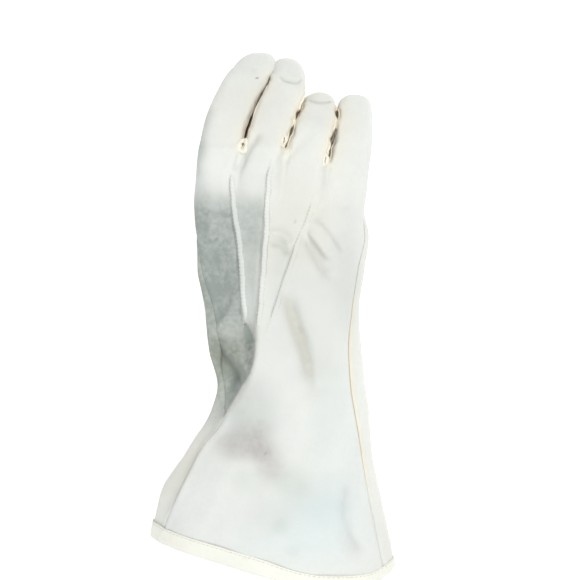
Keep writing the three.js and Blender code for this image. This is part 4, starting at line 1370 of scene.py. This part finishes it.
def stitch_turns(make, given, tangent):
    """Flat on the cloth, along its path and a little slanted."""
    up = make.add("GeometryNodeInputNamedAttribute", {"Name": "up"}, data_type="FLOAT_VECTOR")
    axes = make.add(
        "FunctionNodeAxesToRotation",
        {"Primary Axis": up.outputs["Attribute"], "Secondary Axis": tangent},
        primary_axis="Z", secondary_axis="X",
    )
    slant = make.between_at_random(given["Seed"], *SLANTS)
    turn = make.add("ShaderNodeCombineXYZ", {"Z": slant})
    spin = make.add("FunctionNodeEulerToRotation", {0: turn.outputs[0]})
    inputs = {"Rotation": axes.outputs[0], "Rotate By": spin.outputs[0]}
    return make.add("FunctionNodeRotateRotation", inputs, rotation_space="LOCAL").outputs[0]


def stitch_sizes(make, given):
    """Each bead's length, width and height, a little uneven."""
    size = make.add("ShaderNodeCombineXYZ", {
        "X": given["Length"], "Y": given["Width"], "Z": given["Height"],
    })
    inputs = {0: size.outputs[0], "Scale": make.between_at_random(given["Seed"], *SIZES)}
    return make.add("ShaderNodeVectorMath", inputs, operation="SCALE").outputs[0]


# %% The tree that sews along a path, with its sizes in millimetres
STITCH_SIZES = {"Spacing": 2.2, "Length": 1.5, "Width": 0.34, "Height": 0.2}
SEWING_SEED = 7


def sewing_tree():
    sizes = [(name, "Float", value * MM) for name, value in STITCH_SIZES.items()]
    ends = [("Seed", "Int", SEWING_SEED), ("Thread", "Material", None)]
    make, given, result = new_group(
        "sew_along_path", "Geometry",
        [("Path", "Geometry", None), *sizes, *ends], [("Stitches", "Geometry")],
    )
    curve = make.add("GeometryNodeMeshToCurve", {"Mesh": given["Path"]})
    inputs = {"Curve": curve.outputs["Curve"], "Length": given["Spacing"]}
    dots = make.add("GeometryNodeCurveToPoints", inputs, mode="LENGTH")
    bead = make.add("GeometryNodeMeshUVSphere", {"Segments": 8, "Rings": 5, "Radius": 0.5})
    place = make.add("GeometryNodeInstanceOnPoints", {
        "Points": dots.outputs["Points"],
        "Instance": bead.outputs["Mesh"],
        "Rotation": stitch_turns(make, given, dots.outputs["Tangent"]),
        "Scale": stitch_sizes(make, given),
    })
    real = make.add("GeometryNodeRealizeInstances", {0: place.outputs[0]})
    smooth = make.add("GeometryNodeSetShadeSmooth", {0: real.outputs[0]})
    inputs = {"Geometry": smooth.outputs[0], "Material": given["Thread"]}
    finish = make.add("GeometryNodeSetMaterial", inputs)
    make.fill(result, {"Stitches": finish.outputs[0]})
    return make.tree


sewing = sewing_tree()
print("sewing tree:", len(sewing.nodes), "nodes")

# %% [markdown]
# ## Woven cloth
#
# Up close the glove is fine woven cotton. The weave is two crossing sets of waves on
# the cloth's own UV map, which is in millimetres, so a thread stays the same width
# on a finger and on the cuff. It is a node group, because all the cloths share it.


# %% Helpers for shaders
class ShaderNodes(Nodes):
    """The same for a material or a shader group."""

    def math(self, operation, a, b=None, clamp=False):
        inputs = {0: a} if b is None else {0: a, 1: b}
        return self.add("ShaderNodeMath", inputs, operation=operation, use_clamp=clamp).outputs[0]

    def times(self, a, b, clamp=False):
        return self.math("MULTIPLY", a, b, clamp)

    def mixed(self, factor, a, b, blend="MIX"):
        inputs = {"Factor": factor, "A": a, "B": b}
        node = self.add("ShaderNodeMix", inputs, data_type="RGBA", blend_type=blend)
        return node.outputs["Result"]

    def tinted(self, colour, tint):
        return self.mixed(1.0, colour, tint, "MULTIPLY")

    def shaded(self, colour, value):
        grey = self.add("ShaderNodeCombineColor", {0: value, 1: value, 2: value})
        return self.tinted(colour, grey.outputs[0])

    def place(self):
        return self.add("ShaderNodeTexCoord").outputs["Object"]

    def noise(self, place, scale, detail=3.0, roughness=0.55):
        """Noise with about this many lumps to a metre."""
        inputs = {"Vector": place, "Scale": scale, "Detail": detail, "Roughness": roughness}
        return self.add("ShaderNodeTexNoise", inputs).outputs["Fac"]

    def mark(self, name):
        return self.add("ShaderNodeAttribute", attribute_name=name).outputs["Fac"]

    def between(self, value, low, high, start=0.0, stop=1.0):
        """A value that goes softly from start to stop while another goes from low to high."""
        labels = ("Value", "From Min", "From Max", "To Min", "To Max")
        inputs = zip(labels, (value, low, high, start, stop))
        node = self.add("ShaderNodeMapRange", inputs, interpolation_type="SMOOTHSTEP")
        return node.outputs["Result"]

    def bump(self, height, strength, depth):
        """The depth is in millimetres."""
        inputs = {"Strength": strength, "Distance": depth * MM, "Height": height}
        return self.add("ShaderNodeBump", inputs).outputs["Normal"]


def shader_group(name, inputs, outputs):
    make, given, result = new_group(name, "Shader", inputs, outputs)
    return ShaderNodes(make.tree), given, result


# %% Node group: the weave
def weave_group():
    make, given, result = shader_group(
        "plain_weave",
        [("Pitch", "Float", 0.42), ("Fuzz", "Float", 0.35)],
        [("Height", "Float"), ("Shade", "Float")],
    )
    uv = make.add("ShaderNodeUVMap", uv_map="cloth")
    split = make.add("ShaderNodeSeparateXYZ", {0: uv.outputs["UV"]})
    place = make.place()
    wobble = make.times(make.noise(place, 140.0, 2.0), 0.5)
    waves = []
    for axis in (0, 1):
        moved = make.math("ADD", split.outputs[axis], wobble)
        turns = make.math("DIVIDE", make.times(moved, math.pi), given["Pitch"])
        waves.append(make.math("SINE", turns))
    threads = make.math("ADD", make.times(make.times(*waves), 0.5), 0.5)
    fuzz = make.times(make.noise(place, 1500.0), given["Fuzz"])
    height = make.math("ADD", threads, fuzz)
    make.fill(result, {"Height": height, "Shade": make.between(height, 0.1, 1.2, 0.955, 1.02)})
    return make.tree


weave = weave_group()
print("node group:", weave.name)

# %% [markdown]
# ## Stains, painted shade and seams
#
# The second group lays the marks over a cloth's own colour: grey where it rubbed and
# as painted shade on the flank and in creases, yellow at the seams and lighter beside
# the slits as painted light, faint blue and brown stains, painted shade inside the
# gaps, and the thin dark line where two panels meet. Noise breaks up every patch, as
# soil follows the threads. It also puts out a wear mask from the grey mark, which
# makes that cloth a little rougher.

# %% Stains and painted shade over a cloth's colour
# The grey and taupe tints also paint shade; the smudge one paints a stain and the shade of one
# fold.
TINTS = {
    "grey": (0.41, 0.45, 0.435, 1.0),
    "smudge": (0.70, 0.66, 0.665, 1.0),
    "green": (0.84, 0.88, 0.85, 1.0),
    "blue": (0.93, 1.0, 1.03, 1.0),
    "warm": (1.0, 0.965, 0.90, 1.0),
    "taupe": (0.77, 0.75, 0.705, 1.0),
}


def stained_and_shaded(make, colour, broken, amount):
    for name, tint in TINTS.items():
        mask = make.times(make.times(make.mark(name), broken), amount, clamp=True)
        colour = make.mixed(mask, colour, make.tinted(colour, tint))
    return colour


# %% Seams, gaps and specks over a cloth's colour, with painted light and shade at the gaps
# Yellowed cream, lighter than the cloth: beside the slits it also stands for light on edges that
# the geometry leaves in shade.
YELLOWED_AND_LIT = (1.12, 1.02, 0.88, 1.0)
SEAM_LINE = (0.62, 0.56, 0.46, 1.0)
# Painted shade for the inside of the gaps.
GAP_SHADE = (0.11, 0.07, 0.045, 1.0)
SPECK = (0.30, 0.17, 0.12, 1.0)


def seamed(make, colour, cloud):
    gap = make.mark("gap")
    edge = make.math("MAXIMUM", gap, make.mark("band"))
    edge = make.times(edge, make.between(cloud, 0.25, 0.65, 0.55, 1.0))
    # Yellowing, with painted light on the shaded edges beside the slits.
    colour = make.mixed(edge, colour, make.tinted(colour, YELLOWED_AND_LIT))
    line = make.between(make.mark("seam"), 0.0, 0.5, 0.85, 0.0)
    line = make.times(line, make.between(gap, 0.2, 1.0, 1.0, 0.25))
    colour = make.mixed(line, colour, make.tinted(colour, SEAM_LINE))
    # Painted shade inside the gaps.
    colour = make.mixed(make.mark("deep"), colour, make.tinted(colour, GAP_SHADE))
    return make.mixed(make.mark("speck"), colour, SPECK)


# %% Node group: marks over a cloth's colour
def marks_group():
    make, given, result = shader_group(
        "marks_on_cloth",
        [("Cloth", "Color", (0.8, 0.8, 0.75, 1)), ("Amount", "Float", 1.0)],
        [("Colour", "Color"), ("Worn", "Float")],
    )
    place = make.place()
    cloud, fine = make.noise(place, 60.0, 4.0), make.noise(place, 420.0)
    broad = make.noise(place, 28.0, 2.0)
    patchy = make.between(cloud, 0.28, 0.68, 0.78, 1.12)
    broken = make.times(patchy, make.between(fine, 0.3, 0.7, 0.86, 1.12))
    colour = stained_and_shaded(make, given["Cloth"], broken, given["Amount"])
    even = make.between(fine, 0.3, 0.7, 0.985, 1.01)
    even = make.times(even, make.between(broad, 0.3, 0.7, 0.955, 1.015))
    make.fill(result, {
        "Colour": seamed(make, make.shaded(colour, even), cloud),
        "Worn": make.times(make.mark("grey"), broken, clamp=True),
    })
    return make.tree


soiling_and_shade = marks_group()
print("node group:", soiling_and_shade.name)

# %% [markdown]
# ## Materials
#
# Three cottons share the two groups: white for the back, a slightly warmer one for
# the palm and the thumb, and cream for the strips and the binding. Cotton is rough,
# with a faint sheen from its loose fibres. The sewing thread has a twist of its own.


# %% The cloths
def new_material(name, constants):
    """A material, a maker for its nodes and its shader's sockets."""
    material = bpy.data.materials.new(name)
    material.use_nodes = True
    make = ShaderNodes(material.node_tree)
    shader = make.tree.nodes["Principled BSDF"].inputs
    make.fill(shader, constants)
    return material, make, shader


COTTON = {"Sheen Weight": 0.12, "Sheen Roughness": 0.6, "Specular IOR Level": 0.25}
WORN_ROUGHER = 0.06
THREAD_DEPTH = 0.12


def cloth_material(name, colour, pitch, roughness, bump, amount):
    material, make, shader = new_material(name, COTTON)
    threads = make.add("ShaderNodeGroup", {"Pitch": pitch}, node_tree=weave).outputs
    inputs = {"Cloth": (*colour, 1.0), "Amount": amount}
    dirt_and_shade = make.add("ShaderNodeGroup", inputs, node_tree=soiling_and_shade).outputs
    worn = min(1.0, roughness + WORN_ROUGHER)
    make.fill(shader, {
        "Base Color": make.shaded(dirt_and_shade["Colour"], threads["Shade"]),
        "Roughness": make.between(dirt_and_shade["Worn"], 0.0, 1.0, roughness, worn),
        "Normal": make.bump(threads["Height"], bump, THREAD_DEPTH),
    })
    return material


WHITE, PALM, CREAM = (0.785, 0.805, 0.775), (0.80, 0.81, 0.765), (0.91, 0.91, 0.83)
white_cotton = cloth_material("white_cotton", WHITE, 0.42, 0.88, 0.6, 1.0)
palm_cotton = cloth_material("palm_cotton", PALM, 0.42, 0.9, 0.6, 0.9)
cream_cotton = cloth_material("cream_cotton", CREAM, 0.5, 0.86, 0.7, 0.5)


# %% The thread
def thread_material():
    material, make, shader = new_material("sewing_thread", {"Sheen Weight": 0.1})
    place = make.place()
    patchy, twist = make.noise(place, 160.0), make.noise(place, 5200.0, 2.0)
    colour = make.mixed(patchy, (0.66, 0.655, 0.60, 1.0), (0.74, 0.71, 0.62, 1.0))
    make.fill(shader, {
        "Base Color": colour,
        "Roughness": make.between(twist, 0.3, 0.7, 0.6, 0.8),
        "Normal": make.bump(twist, 0.4, 0.05),
    })
    return material


sewing_thread = thread_material()
print("materials:", len(bpy.data.materials))

# %% Give each piece its cloth
cloth_of = {cloth_back: white_cotton, cloth_palm: palm_cotton, cloth_thumb: palm_cotton}
cloth_of.update({strip: cream_cotton for strip in cloth_strips})
cloth_of[cloth_binding] = cream_cotton
for obj, material in cloth_of.items():
    obj.data.materials.append(material)


# %% Sew along paths
def path_object(name, points, ups):
    edges = [(i, i + 1) for i in range(len(points) - 1)]
    mesh = mesh_in_metres(name, points, edges, [])
    data = mesh.attributes.new("up", "FLOAT_VECTOR", "POINT").data
    data.foreach_set("vector", np.asarray(ups, np.float32).ravel())
    return in_scene(name, mesh)


def sew(name, points, ups, **sizes):
    """Runs the sewing tree along a path and keeps the stitches as a plain mesh."""
    obj = path_object(name + "_path", points, ups)
    modifier = obj.modifiers.new("sewing", "NODES")
    modifier.node_group = sewing
    sockets = {
        item.name: item.identifier
        for item in sewing.interface.items_tree
        if item.item_type == "SOCKET" and item.in_out == "INPUT"
    }
    for label, value in sizes.items():
        modifier[sockets[label]] = value * MM
    modifier[sockets["Thread"]] = sewing_thread
    depsgraph = bpy.context.evaluated_depsgraph_get()
    made = bpy.data.meshes.new_from_object(obj.evaluated_get(depsgraph))
    bpy.data.objects.remove(obj)
    return made


# %% Stitches as one object
def merged(name, meshes):
    """One object from several plain meshes of stitches."""
    points, faces, count = [], [], 0
    for mesh in meshes:
        flat = np.empty(len(mesh.vertices) * 3, np.float32)
        mesh.vertices.foreach_get("co", flat)
        points.append(flat.reshape(-1, 3))
        faces += [[i + count for i in polygon.vertices] for polygon in mesh.polygons]
        count += len(mesh.vertices)
        bpy.data.meshes.remove(mesh)
    mesh = bpy.data.meshes.new(name)
    mesh.from_pydata(np.concatenate(points).tolist(), [], faces)
    mesh.shade_smooth()
    mesh.materials.append(sewing_thread)
    print(name, count, "vertices")
    return in_scene(name, mesh)


def sewn_runs(name, points, ups, lowest, **sizes):
    """Stitches along the parts of a path that lie higher than the lowest one allowed."""
    high = points[:, 2] > lowest
    runs = np.split(np.arange(len(points)), np.flatnonzero(np.diff(high.astype(int))) + 1)
    runs = [run for run in runs if high[run[0]] and len(run) > 3]
    meshes = [sew(f"{name}_{n}", points[run], ups[run], **sizes) for n, run in enumerate(runs)]
    return merged("stitches_" + name, meshes)


# %% Stitches beside the tucks
BESIDE_TUCK = 1.3
tuck_seams = []
for n, line in enumerate(tuck_lines):
    foot = line + rights_of(*line_on_back(line))[:, :2] * BESIDE_TUCK
    points, ups = line_on_back(foot)
    tuck_seams.append(sew(f"tuck_{n}", points + ups * 0.05, ups, Spacing=STITCH, Length=1.5))
stitches_tucks = merged("stitches_tucks", tuck_seams)

# %% Stitches round the binding
points = round_hem(HEM_ROW + BINDING_DEPTH * wide) + outward * (0.6 + pucker)[:, None]
stitches_hem = sewn_runs("hem", points, outward, 0.9, Spacing=2.4, Length=1.7)


# %% Stitches round the thumb's seam
def thumb_seam():
    """Where the thumb's skin meets the palm, as a path round it, and outward normals."""
    points, ups = [], []
    rise = thumb_grid[..., 2] - palm_height(thumb_grid[..., 0], thumb_grid[..., 1])
    for j in range(THUMB_COLUMNS + 1):
        line = rise[:, j]
        change = np.flatnonzero((line[:-1] > 0) & (line[1:] <= 0))
        if len(change) == 0:
            continue
        i = change[0]
        p = mix(thumb_grid[i, j], thumb_grid[i + 1, j], line[i] / (line[i] - line[i + 1]))
        k = np.abs(thumb_rows["y"] - p[1]).argmin()
        up = p - np.array([thumb_rows[axis][k] for axis in "xyz"])
        up[1] = 0
        up[2] -= 0.6 * np.linalg.norm(up)
        up /= np.linalg.norm(up)
        points.append(p + up * 0.25)
        ups.append(up)
    return np.array(points), np.array(ups)


stitches_thumb = sewn_runs("thumb", *thumb_seam(), 0.6, Spacing=2.2, Length=1.5)

# %% [markdown]
# ## What each piece rides on and stands for
#
# Nothing on the glove moves by itself, so every piece rides on the root. Each cloth
# stands for its imported node, which is hidden, and the cut sizes of the back, the palm
# and the strips are printed.
# Cotton cloth doesn't stretch, so the cut sizes are the panels' own lengths and areas.

# %% Ride and replace
STITCHING = [stitches_tucks, stitches_hem, stitches_thumb]
for obj in (*cloth_of, *STITCHING):
    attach(obj, "root")
nodes = {cloth_back: "back_panel", cloth_palm: "palm_panel", cloth_thumb: "thumb"}
nodes.update({strip: "forchette_" + name for strip, name in zip(cloth_strips, STRIPS)})
nodes[cloth_binding] = "hem_binding"
for obj, node in nodes.items():
    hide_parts(node)


size, area = cut_size("back")
print("back cut", [round(v, 3) for v in size], round(area, 4))
size, area = cut_size("palm")
print("palm cut", [round(v, 3) for v in size], round(area, 4))
for strip, name in zip(cloth_strips, STRIPS):
    size, area = cut_size(name)
    print(name, "cut", [round(v, 4) for v in size], round(area, 5))

# %% [markdown]
# ## Table, light and camera
#
# The photograph has a plain white ground and a soft light from the upper right. One
# large lamp stands there, low enough to leave the flank by the thumb in shade, and
# the pale surroundings fill the rest. The camera looks straight down from 0.7 m.


# %% The table
TABLE_FINISH = {
    "Roughness": 0.95, "Specular IOR Level": 0.1, "Emission Strength": 0.5,
}
TABLE_HALF = 3.0


def pale_floor():
    material, make, shader = new_material("pale_table", TABLE_FINISH)
    cloud = make.noise(make.place(), 4.0, 2.0)
    colour = make.mixed(cloud, (0.90, 0.90, 0.90, 1.0), (0.93, 0.93, 0.93, 1.0))
    make.fill(shader, {"Base Color": colour, "Emission Color": colour})
    return material


mesh = bpy.data.meshes.new("table_top")
corners = [(x * TABLE_HALF, y * TABLE_HALF, 0) for x, y in ((-1, -1), (1, -1), (1, 1), (-1, 1))]
mesh.from_pydata(corners, [], [(0, 1, 2, 3)])
mesh.materials.append(pale_floor())
in_scene("table_top", mesh)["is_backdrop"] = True


# %% The light
LAMPS_AIM = (0, 0, 0.02)


def area_light(name, place, size, power, colour):
    lamp = bpy.data.lights.new(name, "AREA")
    lamp.shape, lamp.size, lamp.energy, lamp.color = "DISK", size, power, colour
    obj = in_scene(name, lamp)
    obj.location = place
    direction = Vector(LAMPS_AIM) - Vector(place)
    obj.rotation_euler = direction.to_track_quat("-Z", "Y").to_euler()


area_light("key", (0.5, 0.4, 1.33), 0.42, 12.2, (1.0, 0.998, 0.985))
area_light("fill", (-0.5, -1.05, 1.0), 1.2, 8.5, (0.98, 0.995, 1.0))
world = bpy.data.worlds.new("studio")
world.use_nodes = True
background = world.node_tree.nodes["Background"].inputs
background["Color"].default_value = (1.0, 1.0, 1.0, 1.0)
background["Strength"].default_value = 0.42
bpy.context.scene.world = world
bpy.context.scene.view_settings.view_transform = "Standard"

# %% The camera
SENSOR = 36.0  # in millimetres, as the lens is
SEEN_WIDTH, SEEN_FROM = 0.29, 0.68
camera_data = bpy.data.cameras.new("camera")
camera_data.sensor_width = SENSOR
camera_data.lens = SENSOR * SEEN_FROM / SEEN_WIDTH
camera = in_scene("camera", camera_data)
camera.location = (0.0088, 0.0130, 0.700)
bpy.context.scene.camera = camera

# %% The sizes of the imported model and of the dressed glove
visual_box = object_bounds()
boxes = {"cad": [list(c) for c in cad_box], "visual": [list(c) for c in visual_box]}
print("visual box", [[round(v, 4) for v in corner] for corner in boxes["visual"]])
